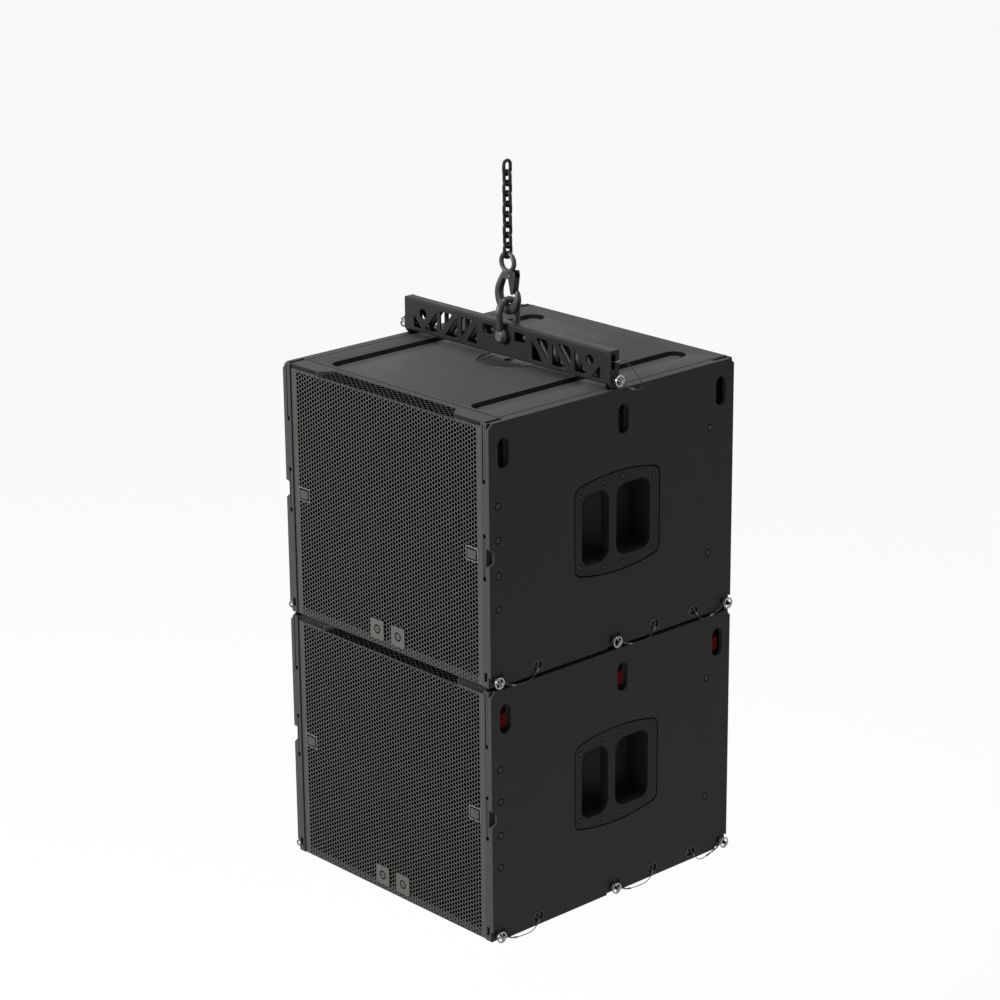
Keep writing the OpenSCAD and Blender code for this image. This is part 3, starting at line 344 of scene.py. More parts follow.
def as_object(bm: BMesh, name: str, materials: Iterable[Material]) -> Object:
    """Turns a bmesh, which it frees, into an object with these materials by index."""
    mesh = bpy.data.meshes.new(name)
    bm.to_mesh(mesh)
    bm.free()
    for material in materials:
        mesh.materials.append(material)
    made = bpy.data.objects.new(name, mesh)
    bpy.context.scene.collection.objects.link(made)
    return made


def build(bm: BMesh, name: str, finishes: Sequence[Finish], body: str = "array",
          smooth_deg: float = SMOOTH_DEG, recalc: bool = True) -> Object:
    """Turns a bmesh into a piece that rides on a body.

    Args:
        bm: the mesh, freed afterwards.
        name: name of the piece.
        finishes: finishes by material index.
        body: body that the piece rides on.
        smooth_deg: edges flatter than this are shaded smooth.
        recalc: whether the faces are turned outwards first.

    Returns:
        The new object.
    """
    if recalc:
        bmesh.ops.recalc_face_normals(bm, faces=bm.faces)
    for face in bm.faces:
        face.smooth = True
    for edge in bm.edges:
        edge.smooth = len(edge.link_faces) == 2 and edge.calc_face_angle(0) < math.radians(
            smooth_deg)
    piece = as_object(bm, name, (finish.make() for finish in finishes))
    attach(piece, body)
    return piece


def joined(verts: Iterable[BMVert]) -> set[BMVert]:
    """Gives all vertices that edges join to these ones."""
    grown, stack = set(verts), list(verts)
    while stack:
        vert = stack.pop()
        for edge in vert.link_edges:
            other = edge.other_vert(vert)
            if other not in grown:
                grown.add(other)
                stack.append(other)
    return grown


def whole(bm: BMesh) -> list:
    """Gives all points, edges and faces of a mesh."""
    return [*bm.verts, *bm.edges, *bm.faces]


def turned(bm: BMesh, profile: Sequence[Pair], place: Matrix,
           steps: int = 24, finish: int = 0) -> None:
    """Spins a profile of (radius, height) in millimetres round its axis.

    Args:
        bm: mesh that gets the turned shape.
        profile: points from the axis, radius and height.
        place: transform from the profile's frame, axis along Z, in metres.
        steps: segments of the full turn.
        finish: material index.
    """
    points = [bm.verts.new((r * MM, 0.0, h * MM)) for r, h in profile]
    edges = [bm.edges.new(pair) for pair in zip(points, points[1:])]
    bmesh.ops.spin(bm, geom=points + edges, cent=(0, 0, 0), axis=(0, 0, 1), angle=math.tau,
                   steps=steps, use_merge=True, use_duplicate=False)
    grown = joined(points)
    for face in {face for vert in grown for face in vert.link_faces}:
        face.material_index = finish
    bmesh.ops.remove_doubles(bm, verts=list(grown), dist=TOUCHING)
    bmesh.ops.transform(bm, matrix=place, verts=[v for v in grown if v.is_valid])


def plate(bm: BMesh, size: Triple, place: Matrix,
          corner: float = 0.0, edge: float = 0.0, finish: int = 0) -> None:
    """Adds a plate with rounded upright corners and softened edges, sizes in millimetres.

    Args:
        bm: mesh that gets the plate.
        size: length, width and thickness; the plate's back lies at z = 0.
        place: transform of the plate.
        corner: radius of the four upright corners.
        edge: radius of the front edges.
        finish: material index.
    """
    made = bmesh.ops.create_cube(bm, size=1.0)["verts"]
    bmesh.ops.translate(bm, vec=(0, 0, 0.5), verts=made)
    bmesh.ops.scale(bm, vec=Vector(size) * MM, verts=made)
    if corner:
        upright = [e for e in {e for v in made for e in v.link_edges}
                   if abs(e.verts[0].co.z - e.verts[1].co.z) > TOUCHING]
        out = bmesh.ops.bevel(bm, geom=upright, offset=corner * MM, segments=4, profile=0.5,
                              affect="EDGES", material=-1)
        made = joined(out["verts"])
    if edge:
        bm.normal_update()
        front = [e for e in {e for v in made for e in v.link_edges}
                 if all(abs(v.co.z - size[2] * MM) < TOUCHING for v in e.verts)
                 and any(abs(f.normal.z) < 0.5 for f in e.link_faces)]
        out = bmesh.ops.bevel(bm, geom=front, offset=edge * MM, segments=2, profile=0.5,
                              affect="EDGES", material=-1)
        made = joined(out["verts"])
    for face in {f for v in made for f in v.link_faces}:
        face.material_index = finish
    bmesh.ops.transform(bm, matrix=place, verts=list(made))


def band(bm: BMesh, inner: Sequence[Pair],
         outer: Sequence[Pair], heights: Pair, thick: float,
         place: Matrix, finish: int = 0) -> None:
    """Adds a closed band between two outlines, sizes in millimetres.

    Args:
        bm: mesh that gets the band.
        inner: inner outline.
        outer: outer outline, with as many points.
        heights: height of the band's upper face at the inner and the outer outline.
        thick: thickness of the band.
        place: transform of the band.
        finish: material index.
    """
    rows = ((inner, heights[0]), (outer, heights[1]), (outer, heights[1] - thick),
            (inner, heights[0] - thick))
    loops = [[bm.verts.new(place @ Vector((u * MM, v * MM, h * MM))) for u, v in line]
             for line, h in rows]
    for a, b in zip(loops, loops[1:] + loops[:1]):
        for i in range(len(a)):
            j = (i + 1) % len(a)
            bm.faces.new((a[i], a[j], b[j], b[i])).material_index = finish


def facing(direction: str, at: Sequence[float]) -> Matrix:
    """Gives the transform that turns +Z to a direction and moves to a point.

    Args:
        direction: one of +x, -x, -y, +z.
        at: the point, in metres.

    Returns:
        The transform.
    """
    angle, axis = {"+x": (90, "Y"), "-x": (-90, "Y"), "-y": (90, "X"), "+z": (0, "X")}[direction]
    return Matrix.Translation(Vector(at)) @ Matrix.Rotation(math.radians(angle), 4, axis)


def softened(node: str, width_mm: float, finish: Finish, segments: int = 2,
             smooth_deg: float = SMOOTH_DEG) -> Object:
    """Replaces a rigid node by a welded copy of itself with softened edges.

    Args:
        node: name of the node.
        width_mm: width of the softened edges; with 0 the edges stay as they are.
        finish: its finish.
        segments: segments across a softened edge.
        smooth_deg: edges flatter than this are shaded smooth.

    Returns:
        The copy.
    """
    weld, flat_deg, sharp_deg = 2e-6, 0.6, 50
    source = frame["nodes"][node]
    bm = bmesh.new()
    bm.from_mesh(source.data)
    bmesh.ops.remove_doubles(bm, verts=bm.verts, dist=weld)
    bmesh.ops.dissolve_limit(bm, angle_limit=math.radians(flat_deg), verts=bm.verts,
                             edges=bm.edges, use_dissolve_boundaries=False, delimit=set())
    piece = build(bm, node + "_dressed", [finish], source["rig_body"], smooth_deg, recalc=False)
    if width_mm:
        bevel = piece.modifiers.new("soft_edges", "BEVEL")
        bevel.width = width_mm * MM
        bevel.segments = segments
        bevel.limit_method = "ANGLE"
        bevel.angle_limit = math.radians(sharp_deg)
    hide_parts(node)
    return piece


def coat(material: Material, *nodes: str) -> None:
    """Gives CAD nodes a material."""
    for name in nodes:
        slots = frame["nodes"][name].data.materials
        slots.clear()
        slots.append(material)


# ---- the cabinets


@dataclass
class HexGrille:
    """Perforated steel front of a cabinet, with its ramp, foam and seal.

    Lengths across are counted from the middle, and heights from the cabinet's top.
    """

    cabinet: str
    side_mm: float = 6.11
    web_mm: float = 1.75
    ramp_web_mm: float = 1.4
    sheet_mm: float = 1.8
    half_width_mm: float = 324.5
    perforated_half_mm: float = 308.5
    foot_mm: float = -609.5
    lower_border_mm: float = 1.2
    fold_border_mm: float = 0.6
    seal_mm: float = 9.0
    seal_edge_mm: float = -10.0
    ramp_drop_mm: float = 12.0
    ramp_end_mm: float = 2.0
    ramp_half_mm: Pair = (234.0, 199.0)
    ramp_length_mm: float = 37.0
    ramp_gap_mm: float = 2.5
    step_mm: float = 2.0
    # half width, upper and lower end, thickness and distance behind the grille's front
    foam_mm: tuple[float, ...] = (311.5, -16.0, -603.0, 3.0, 8.0)
    # gap at its sides, gap at its upper end, thickness and depth under the ramp's sheet
    ramp_foam_mm: tuple[float, ...] = (3.0, 2.0, 1.0, 2.5)
    front: float = field(init=False)
    top: float = field(init=False)
    slope: Matrix = field(init=False)
    length_mm: float = field(init=False)

    def __post_init__(self) -> None:
        """Reads the place of the grille from the frame, and lays out its ramp."""
        self.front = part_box(f"{self.cabinet}_grille")[0].y
        self.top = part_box(f"{self.cabinet}_side_panels")[1].z
        rise = math.atan2(self.ramp_drop_mm - self.ramp_end_mm, self.ramp_length_mm + 1)
        self.length_mm = self.ramp_length_mm / math.cos(rise)
        self.slope = (Matrix.Translation((0, self.front, self.top - self.ramp_drop_mm * MM))
                      @ Matrix.Rotation(rise, 4, "X"))

    def lattice(self, half_x: float, low: float, high: float, web: float) -> BMesh:
        """Builds a flat field of hexagonal webs in the XY plane, in millimetres.

        Args:
            half_x: half width of the field.
            low: lowest Y of the field.
            high: highest Y of the field.
            web: width of a web.

        Returns:
            The field, trimmed to a rectangle.
        """
        bm = bmesh.new()
        cell = bmesh.ops.create_circle(bm, cap_ends=True, segments=6, radius=self.side_mm * MM)
        bmesh.ops.rotate(bm, cent=(0, 0, 0), verts=cell["verts"],
                         matrix=Matrix.Rotation(math.radians(30), 3, "Z"))
        bmesh.ops.inset_individual(bm, faces=bm.faces[:], thickness=web / 2 * MM,
                                   use_even_offset=True)
        hole = min(bm.faces, key=lambda f: f.calc_center_median().length)
        bmesh.ops.delete(bm, geom=[hole], context="FACES_ONLY")
        column, row = 1.5 * self.side_mm * MM, math.sqrt(3) * self.side_mm * MM
        bmesh.ops.translate(bm, verts=bm.verts, vec=(0, low * MM - row, 0))
        one = whole(bm)
        for j in range(1, int((high - low) * MM / row) + 3):
            self.repeat(bm, one, (0, j * row, 0))
        stack = whole(bm)
        columns = int(half_x * MM / column) + 2
        for i in [n for n in range(-columns, columns + 1) if n]:
            self.repeat(bm, stack, (i * column, row / 2 if i % 2 else 0, 0))
        bmesh.ops.remove_doubles(bm, verts=bm.verts, dist=10 * TOUCHING)
        for x, y, outward in ((half_x, 0, (1, 0, 0)), (-half_x, 0, (-1, 0, 0)),
                              (0, high, (0, 1, 0)), (0, low, (0, -1, 0))):
            self.trim(bm, (x * MM, y * MM, 0), outward)
        return bm

    @staticmethod
    def repeat(bm: BMesh, geom: list, shift: Sequence[float]) -> None:
        """Adds a shifted copy of some elements."""
        copy = bmesh.ops.duplicate(bm, geom=geom)["geom"]
        bmesh.ops.translate(bm, vec=shift, verts=[g for g in copy if isinstance(g, BMVert)])

    @staticmethod
    def trim(bm: BMesh, point: Sequence[float], outward: Sequence[float]) -> None:
        """Cuts away what lies beyond a plane."""
        bmesh.ops.bisect_plane(bm, geom=whole(bm), plane_co=point, plane_no=outward,
                               clear_outer=True, dist=TOUCHING)

    @staticmethod
    def strip(bm: BMesh, x0: float, y0: float, x1: float, y1: float) -> None:
        """Adds a flat strip of border between two corners, in millimetres."""
        made = bmesh.ops.create_grid(bm, x_segments=1, y_segments=1, size=0.5)["verts"]
        for face in {f for v in made for f in v.link_faces}:
            face.material_index = 2
        bmesh.ops.scale(bm, vec=((x1 - x0) * MM, (y1 - y0) * MM, 1), verts=made)
        bmesh.ops.translate(bm, vec=((x0 + x1) / 2 * MM, (y0 + y1) / 2 * MM, 0), verts=made)

    def sheet(self, bm: BMesh, part: str, place: Matrix, webs: Finish, thick: float) -> Object:
        """Turns a flat field into a sheet that grows its thickness inwards.

        Args:
            bm: the field.
            part: last part of the sheet's name.
            place: transform of the sheet.
            webs: finish of the webs.
            thick: thickness of the sheet, in millimetres.

        Returns:
            The sheet.
        """
        bmesh.ops.transform(bm, verts=bm.verts, matrix=place)
        made = build(bm, f"{self.cabinet}_grille_{part}", [webs, GRILLE_HOLE_SHADE, GRILLE_BORDER],
                     recalc=False)
        wall = made.modifiers.new("sheet", "SOLIDIFY")
        wall.thickness = thick * MM
        wall.offset = -1.0
        # the walls of the holes and the sheet's edges take the darker finish, which paints the
        # shade in the holes
        wall.material_offset_rim = 1
        return made

    def make(self) -> None:
        """Builds front sheet, ramp sheet, foam and seal."""
        self.front_sheet()
        self.ramp_sheet()
        self.foam()
        self.seal()

    def front_sheet(self) -> None:
        """Builds the upright sheet, which stands for the grille of the frame."""
        p, w, fold = self.perforated_half_mm, self.half_width_mm, -self.ramp_drop_mm
        low, high = self.foot_mm + self.lower_border_mm, fold - self.fold_border_mm
        bm = self.lattice(p, low, high, self.web_mm)
        for strip in ((-w, self.foot_mm, w, low), (-w, low, -p, high), (p, low, w, high),
                      (-w, high, w, fold)):
            self.strip(bm, *strip)
        for side in (-1, 1):
            inner, outer = sorted((side * w, side * (self.ramp_half_mm[0] + self.step_mm)))
            self.strip(bm, inner, fold, outer, self.seal_edge_mm)
        upright = (Matrix.Translation((0, self.front, self.top))
                   @ Matrix.Rotation(math.radians(90), 4, "X"))
        front = self.sheet(bm, "front", upright, GRILLE_POWDER, self.sheet_mm)
        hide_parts(f"{self.cabinet}_grille")

    def ramp_sheet(self) -> None:
        """Builds the thin sheet on the ramp, narrower towards its upper end."""
        (low, high), length = self.ramp_half_mm, self.length_mm
        end = length - self.step_mm
        spare = 6.0  # trimmed away along the slanting sides
        bm = self.lattice(low + spare, self.fold_border_mm, end, self.ramp_web_mm)
        for side in (-1, 1):
            a = Vector((side * low * MM, 0, 0))
            b = Vector((side * high * MM, length * MM, 0))
            out = Vector((side * (b - a).y, -side * (b - a).x, 0)).normalized()
            self.trim(bm, a - out * self.ramp_gap_mm * MM, out)
        self.strip(bm, -low, 0, low, self.fold_border_mm)
        self.strip(bm, -high, end, high, length)
        behind = Matrix.Translation((0, 0.2 * MM, 0))
        # the ramp's darker coat is painted shade
        self.sheet(bm, "ramp", behind @ self.slope, GRILLE_RAMP_PAINTED_SHADE, self.sheet_mm / 3)

    def foam(self) -> None:
        """Builds the black foam behind the front sheet and under the ramp."""
        bm = bmesh.new()
        half, top, bottom, thick, behind = self.foam_mm
        plate(bm, (2 * half, top - bottom, thick),
              facing("-y", (0, self.front + behind * MM, self.top + (top + bottom) / 2 * MM)))
        side, end, thick, under = self.ramp_foam_mm
        plate(bm, (2 * (self.ramp_half_mm[0] - side), self.length_mm - end, thick),
              self.slope @ Matrix.Translation((0, self.length_mm / 2 * MM, -under * MM)))
        build(bm, f"{self.cabinet}_grille_foam", [GRILLE_FOAM])

    def seal(self) -> None:
        """Builds the dark bead along the upper edge, beside the ramp, which paints the shade
        there.
        """
        bm = bmesh.new()
        inner, below, behind = self.ramp_half_mm[0] + self.step_mm, 0.6, 2.2
        for side in (-1, 1):
            at = (side * (inner + self.half_width_mm) / 2 * MM, self.front + behind * MM,
                  self.top - (self.seal_mm / 2 + below) * MM)
            plate(bm, (self.half_width_mm - inner, self.seal_mm, 2.0), facing("-y", at),
                  corner=1.5, edge=1.5)
        build(bm, f"{self.cabinet}_grille_seal_painted_shade", [SEAL_PAINTED_SHADE])


@dataclass
class Screws:
    """Screws on the sides of a cabinet; heights are counted from its top."""

    cabinet: str
    column_y_mm: float = -359.0
    column_z_mm: tuple[float, ...] = (-190.0, -268.0, -350.0, -428.0)
    rear_y_mm: float = 306.5
    rear_z_mm: tuple[float, ...] = (-153.0, -458.6)
    handle_mm: tuple[Pair, ...] = (
        (-111.5, -225.5), (-37.0, -208.3), (23.0, -206.5), (123.0, -224.2),
        (-111.5, -391.5), (-37.5, -408.4), (23.0, -409.0), (122.5, -390.0))
    # radius of the head, and distance of its seat from the middle
    panel_head_mm: Pair = (6.3, 349.8)
    handle_head_mm: Pair = (4.6, 349.6)

    @staticmethod
    def head(bm: BMesh, place: Matrix, radius: float) -> None:
        """Adds a pan head with a socket, in a dark ring that paints the shade round the head; a
        black disc paints the shade in the socket.

        Args:
            bm: mesh that gets the head.
            place: transform of the head, whose Z points outwards.
            radius: radius of the head, in millimetres.
        """
        socket = radius * 0.42
        turned(bm, [(0.0, -0.4), (socket, -0.4), (socket, 0.55), (radius * 0.8, 0.65),
                    (radius, 0.15), (radius, -0.3)], place, steps=16)
        # black disc in the socket and black ring round the head: painted shade
        for dark in ([(0.0, -0.2), (socket * 0.95, -0.2)],
                     [(radius, 0.25), (radius * 1.4, 0.25), (radius * 1.45, 0.0)]):
            turned(bm, dark, place, steps=16, finish=1)

    def make(self) -> None:
        """Builds the screws of both sides."""
        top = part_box(f"{self.cabinet}_side_panels")[1].z
        panel = ([(self.column_y_mm, z) for z in self.column_z_mm]
                 + [(self.rear_y_mm, z) for z in self.rear_z_mm])
        for name, side in SIDES.items():
            bm = bmesh.new()
            for places, (radius, seat) in ((panel, self.panel_head_mm),
                                           (self.handle_mm, self.handle_head_mm)):
                for y, z in places:
                    at = (side * seat * MM, y * MM, top + z * MM)
                    self.head(bm, facing("+x" if side > 0 else "-x", at), radius)
            build(bm, f"{self.cabinet}_screws_{name}", [SCREW_BLACK, SEAM_AND_SHADE_BLACK])


@dataclass
class Badges:
    """Bare plates on the grille and socket heads on its clip plates."""

    cabinet: str
    across_mm: float = 289.0
    down_mm: float = 308.5
    size_mm: Pair = (40.0, 33.0)
    # how much smaller than the plate, height, and finish: rim, dark line and face
    steps_mm: tuple[tuple[float, float, int], ...] = (
        (0.0, 1.0, 1), (5.0, 1.3, 2), (12.0, 1.6, 0))
    clip_x_mm: float = 36.0
    clip_up_mm: float = 38.0
    # collar and stud of a fastener, then the dark rings around them, which paint the shade in the
    # recesses there
    fastener_mm: tuple[tuple[Pair, ...], ...] = (
        ((5.0, 0.1), (5.0, 1.9), (6.4, 2.0), (7.2, 1.6), (7.3, 0.1)),
        ((0.0, 1.0), (2.2, 0.9), (2.4, 0.1)),
        ((7.3, 0.15), (10.9, 0.15)), ((2.3, 0.15), (5.1, 0.15)))

    def make(self) -> None:
        """Builds both badges and both clip fasteners."""
        low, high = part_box(f"{self.cabinet}_side_panels")
        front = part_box(f"{self.cabinet}_grille")[0].y
        for name, side in SIDES.items():
            bm = bmesh.new()
            place = facing("-y", (side * self.across_mm * MM, front + 0.2 * MM,
                                  high.z - self.down_mm * MM))
            for less, height, finish in self.steps_mm:
                plate(bm, (self.size_mm[0] - less, self.size_mm[1] - less, height), place,
                      corner=1.0, edge=0.3, finish=finish)
            build(bm, f"{self.cabinet}_badge_{name}", [PLATE_SATIN, PLATE_RIM, SEAM_AND_SHADE_BLACK])
            bm = bmesh.new()
            place = facing("-y", (side * self.clip_x_mm * MM, front - 0.9 * MM,
                                  low.z + self.clip_up_mm * MM))
            for i, profile in enumerate(self.fastener_mm):
                turned(bm, profile, place, finish=i // 2)
            build(bm, f"{self.cabinet}_clip_screw_{name}", [GRILLE_POWDER, SEAM_AND_SHADE_BLACK])


@dataclass
class Cabinet:
    """One bass cabinet: its node finishes and the pieces that dress it."""

    name: str
    # width, thickness and depth of the filler in the seams
    seam_mm: Triple = (2.6, 0.5, 0.48)
    # rail covers: place across; width, thickness and distance behind the front; both ends
    cover_x_mm: float = 334.0
    cover_mm: Triple = (6.0, 6.0, 7.0)
    cover_z_mm: Pair = (-128.0, -5.5)
    # centre along the depth and below the top; length, height, crown and corner radius
    handle_mm: Pair = (7.5, -309.0)
    handle_size_mm: tuple[float, ...] = (267.0, 200.0, 35.0, 20.0)
    # width, height above the side and thickness of the black band in the gap around a handle
    # plate, which paints the gap's shade
    handle_gap_shade_mm: Triple = (2.4, 0.12, 1.2)
    # centre of a runner groove, and the ends' distance from the cabinet's front and back
    groove_mm: Pair = (237.0, 4.5)
    groove_inset_mm: float = 87.5
    # radius and height at the foot and at the edge of a groove's slope
    slope_r_mm: Pair = (15.4, 28.3)
    slope_z_mm: Pair = (-6.6, -0.15)

    def __post_init__(self) -> None:
        """Reads the box of the side panels."""
        self.low, self.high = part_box(f"{self.name}_side_panels")

    def seams(self) -> None:
        """Lays dark filler in the seams around the top panel, flush with it."""
        low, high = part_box(f"{self.name}_top_panel")
        bm = bmesh.new()
        width, thick, depth = self.seam_mm
        z, middle = high.z - depth * MM, (low.y + high.y) / 2
        for x in (low.x, high.x):
            plate(bm, (width, (high.y - low.y) / MM, thick), facing("+z", (x, middle, z)))
        plate(bm, ((high.x - low.x) / MM, width, thick), facing("+z", (0.0, low.y, z)))
        build(bm, f"{self.name}_seams", [SEAM_AND_SHADE_BLACK])

    def handle_gap_shade(self) -> None:
        """Lays a black band in the gap around both handle plates, flush with the side, as painted
        shade of the gap.
        """
        bm = bmesh.new()
        width, height, thick = self.handle_gap_shade_mm
        inner, outer = self.barrel(0.0), self.barrel(width)
        for side in SIDES.values():
            at = (side * self.high.x, self.handle_mm[0] * MM,
                  self.high.z + self.handle_mm[1] * MM)
            place = (Matrix.Translation(at) @ Matrix.Rotation(math.radians(side * 90), 4, "Z")
                     @ Matrix.Rotation(math.radians(90), 4, "X"))
            band(bm, inner, outer, (height, height), thick, place)
        build(bm, f"{self.name}_handle_gap_shade", [SEAM_AND_SHADE_BLACK])

    def barrel(self, grow: float) -> list[Pair]:
        """Gives the outline of a handle plate, straight at its ends and crowned above.

        Args:
            grow: how far the outline lies outside the plate, in millimetres.

        Returns:
            Points of the outline, in millimetres.
        """
        length, tall, crown, corner = self.handle_size_mm
        length, tall, corner = length + 2 * grow, tall + 2 * grow, corner + grow
        big = (length ** 2 + crown ** 2) / 4 / crown
        middle = (tall + crown) / 2 - big
        lean = math.asin((length / 2 - corner) / (big - corner))
        up = middle + (big - corner) * math.cos(lean)
        right = [(big * math.sin(lean * i / 6), middle + big * math.cos(lean * i / 6))
                 for i in range(7)]
        for i in range(1, 6):
            turn = lean + (math.pi / 2 - lean) * i / 5
            right.append((length / 2 - corner + corner * math.sin(turn),
                          up + corner * math.cos(turn)))
        top = [(-u, v) for u, v in reversed(right[1:])] + right
        return top + [(u, -v) for u, v in reversed(top)]

    def groove_shade_band(self) -> None:
        """Lays a dark band on the slopes of the runner grooves in the top, as painted shade."""
        reach = (self.high.y - self.low.y) / 2 / MM - self.groove_inset_mm
        inner, outer = (self.stadium(radius, reach) for radius in self.slope_r_mm)
        bm = bmesh.new()
        for side in SIDES.values():
            place = Matrix.Translation((side * self.groove_mm[0] * MM,
                                        self.groove_mm[1] * MM, self.high.z))
            band(bm, inner, outer, self.slope_z_mm, 0.6, place)
        build(bm, f"{self.name}_groove_shade_band", [GROOVE_PAINTED_SHADE])

    @staticmethod
    def stadium(radius: float, reach: float) -> list[Pair]:
        """Gives a long rounded outline along Y, straight between -reach and reach."""
        points = []
        for end in (1, -1):
            for i in range(13):
                turn = math.pi * i / 12 + (0 if end > 0 else math.pi)
                points.append((radius * math.cos(turn), end * reach + radius * math.sin(turn)))
        return points

    def rail_covers(self) -> None:
        """Closes the long slots of the front rails but for a thin line on each side."""
        width, thick, behind = self.cover_mm
        bottom, top = self.cover_z_mm
        bm = bmesh.new()
        for side in SIDES.values():
            at = (side * self.cover_x_mm * MM, self.low.y + behind * MM,
                  self.high.z + (bottom + top) / 2 * MM)
            plate(bm, (width, top - bottom, thick), facing("-y", at), corner=1.0, edge=0.5)
        piece = build(bm, f"{self.name}_rail_covers", [CABINET_PAINT])

    def make(self) -> None:
        """Dresses the cabinet."""
        for part in ("side_panels", "top_panel", "bottom_panel", "back_panel", "front_frame"):
            piece = softened(f"{self.name}_{part}", 1.2, CABINET_PAINT)
        self.seams()
        self.rail_covers()
        self.handle_gap_shade()
        self.groove_shade_band()
        piece = softened(f"{self.name}_handles", 1.4, HANDLE_ABS, segments=3)
        for part, finish in (("baffle", CABINET_PAINT), ("amp_module", AMP_METAL),
                             ("braces", BIRCH_PLY), ("woofer_frame", BASKET_ENAMEL),
                             ("woofer_cone", CONE_PULP), ("skids", RUNNER_PE),
                             ("pole_plate", POLE_STEEL)):
            coat(finish.make(), f"{self.name}_{part}")
        coat(CHROME_PAINTED_REFLECTION.make(), *(f"{self.name}_pin_{p}_{s}" for p in PLACES for s in SIDES))
        HexGrille(self.name).make()
        Screws(self.name).make()
        Badges(self.name).make()
        log.info("cabinet %s dressed", self.name)


# ---- lanyards


@dataclass
class Lanyard:
    """Wire rope from a pull ring to its anchor, with a sleeve and a pressed ferrule."""

    name: str
    pin: str
    route: list[Vector]
    diameter_mm: float = 2.0
    # from and to along the wire in millimetres (below zero: from the anchor), radius, finish
    fittings: tuple[tuple[float, float, float, int], ...] = (
        (5.0, 30.0, 1.7, 1), (33.0, 46.0, 2.3, 2), (-16.0, -5.0, 2.1, 2))

    def smooth(self, steps: int = 5) -> list[Vector]:
        """Gives points of a smooth line through the route."""
        p = self.route
        out: list[Vector] = []
        for i in range(len(p) - 1):
            a, b, c, d = p[max(i - 1, 0)], p[i], p[i + 1], p[min(i + 2, len(p) - 1)]
            for k in range(steps):
                t = k / steps
                out.append(0.5 * (2 * b + (c - a) * t + (2 * a - 5 * b + 4 * c - d) * t * t
                                  + (3 * b - a - 3 * c + d) * t ** 3))
        return out + [p[-1]]

    @staticmethod
    def between(line: Sequence[Vector], start: float, end: float) -> list[Vector]:
        """Gives eight points of a line between two distances along it, in millimetres.

        A distance below zero counts from the far end.
        """
        steps = [(b - a).length for a, b in zip(line, line[1:])]
        total = sum(steps)
        first, last = (d * MM if d >= 0 else total + d * MM for d in (start, end))
        out = []
        for i in range(8):
            left = first + (last - first) * i / 7
            for a, b, step in zip(line, line[1:], steps):
                if left <= step:
                    out.append(a.lerp(b, left / step))
                    break
                left -= step
        return out

    @staticmethod
    def tube(bm: BMesh, line: Sequence[Vector], radii: Sequence[float],
             finish: int, sides: int = 10) -> None:
        """Sweeps a round section along a line.

        Args:
            bm: mesh that gets the tube.
            line: points of the centreline, in metres.
            radii: radius at each point, in metres.
            finish: material index.
            sides: sides of the section.
        """
        rings = []
        for i, (point, radius) in enumerate(zip(line, radii)):
            along = (line[min(i + 1, len(line) - 1)] - line[max(i - 1, 0)]).normalized()
            turn = along.to_track_quat("Z", "Y").to_matrix().to_4x4()
            verts = bmesh.ops.create_circle(bm, segments=sides, radius=radius,
                                            matrix=Matrix.Translation(point) @ turn)["verts"]
            rings.append(list({e for v in verts for e in v.link_edges}))
        made = [face for a, b in zip(rings, rings[1:])
                for face in bmesh.ops.bridge_loops(bm, edges=a + b)["faces"]]
        for ring in (rings[0], rings[-1]):
            made += bmesh.ops.holes_fill(bm, edges=ring, sides=sides)["faces"]
        for face in made:
            face.material_index = finish

    def make(self, replaced: bool) -> None:
        """Builds the lanyard.

        Args:
            replaced: whether this piece stands for the lanyards' node.
        """
        line = self.smooth()
        r = self.diameter_mm / 2 * MM
        bm = bmesh.new()
        self.tube(bm, line, [r] * len(line), 0)
        for start, end, radius, finish in self.fittings:
            part = self.between(line, start, end)
            ends = [radius * 0.75 * MM]
            self.tube(bm, part, ends + [radius * MM] * (len(part) - 2) + ends, finish, sides=12)
        bmesh.ops.recalc_face_normals(bm, faces=bm.faces)
        for face in bm.faces:
            face.smooth = True
        piece = as_object(bm, self.name, (finish.make() for finish in (
            LANYARD_WIRE, LANYARD_SLEEVE, FERRULE_ALLOY)))
        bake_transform(piece)
        if replaced:
            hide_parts("pin_lanyards")


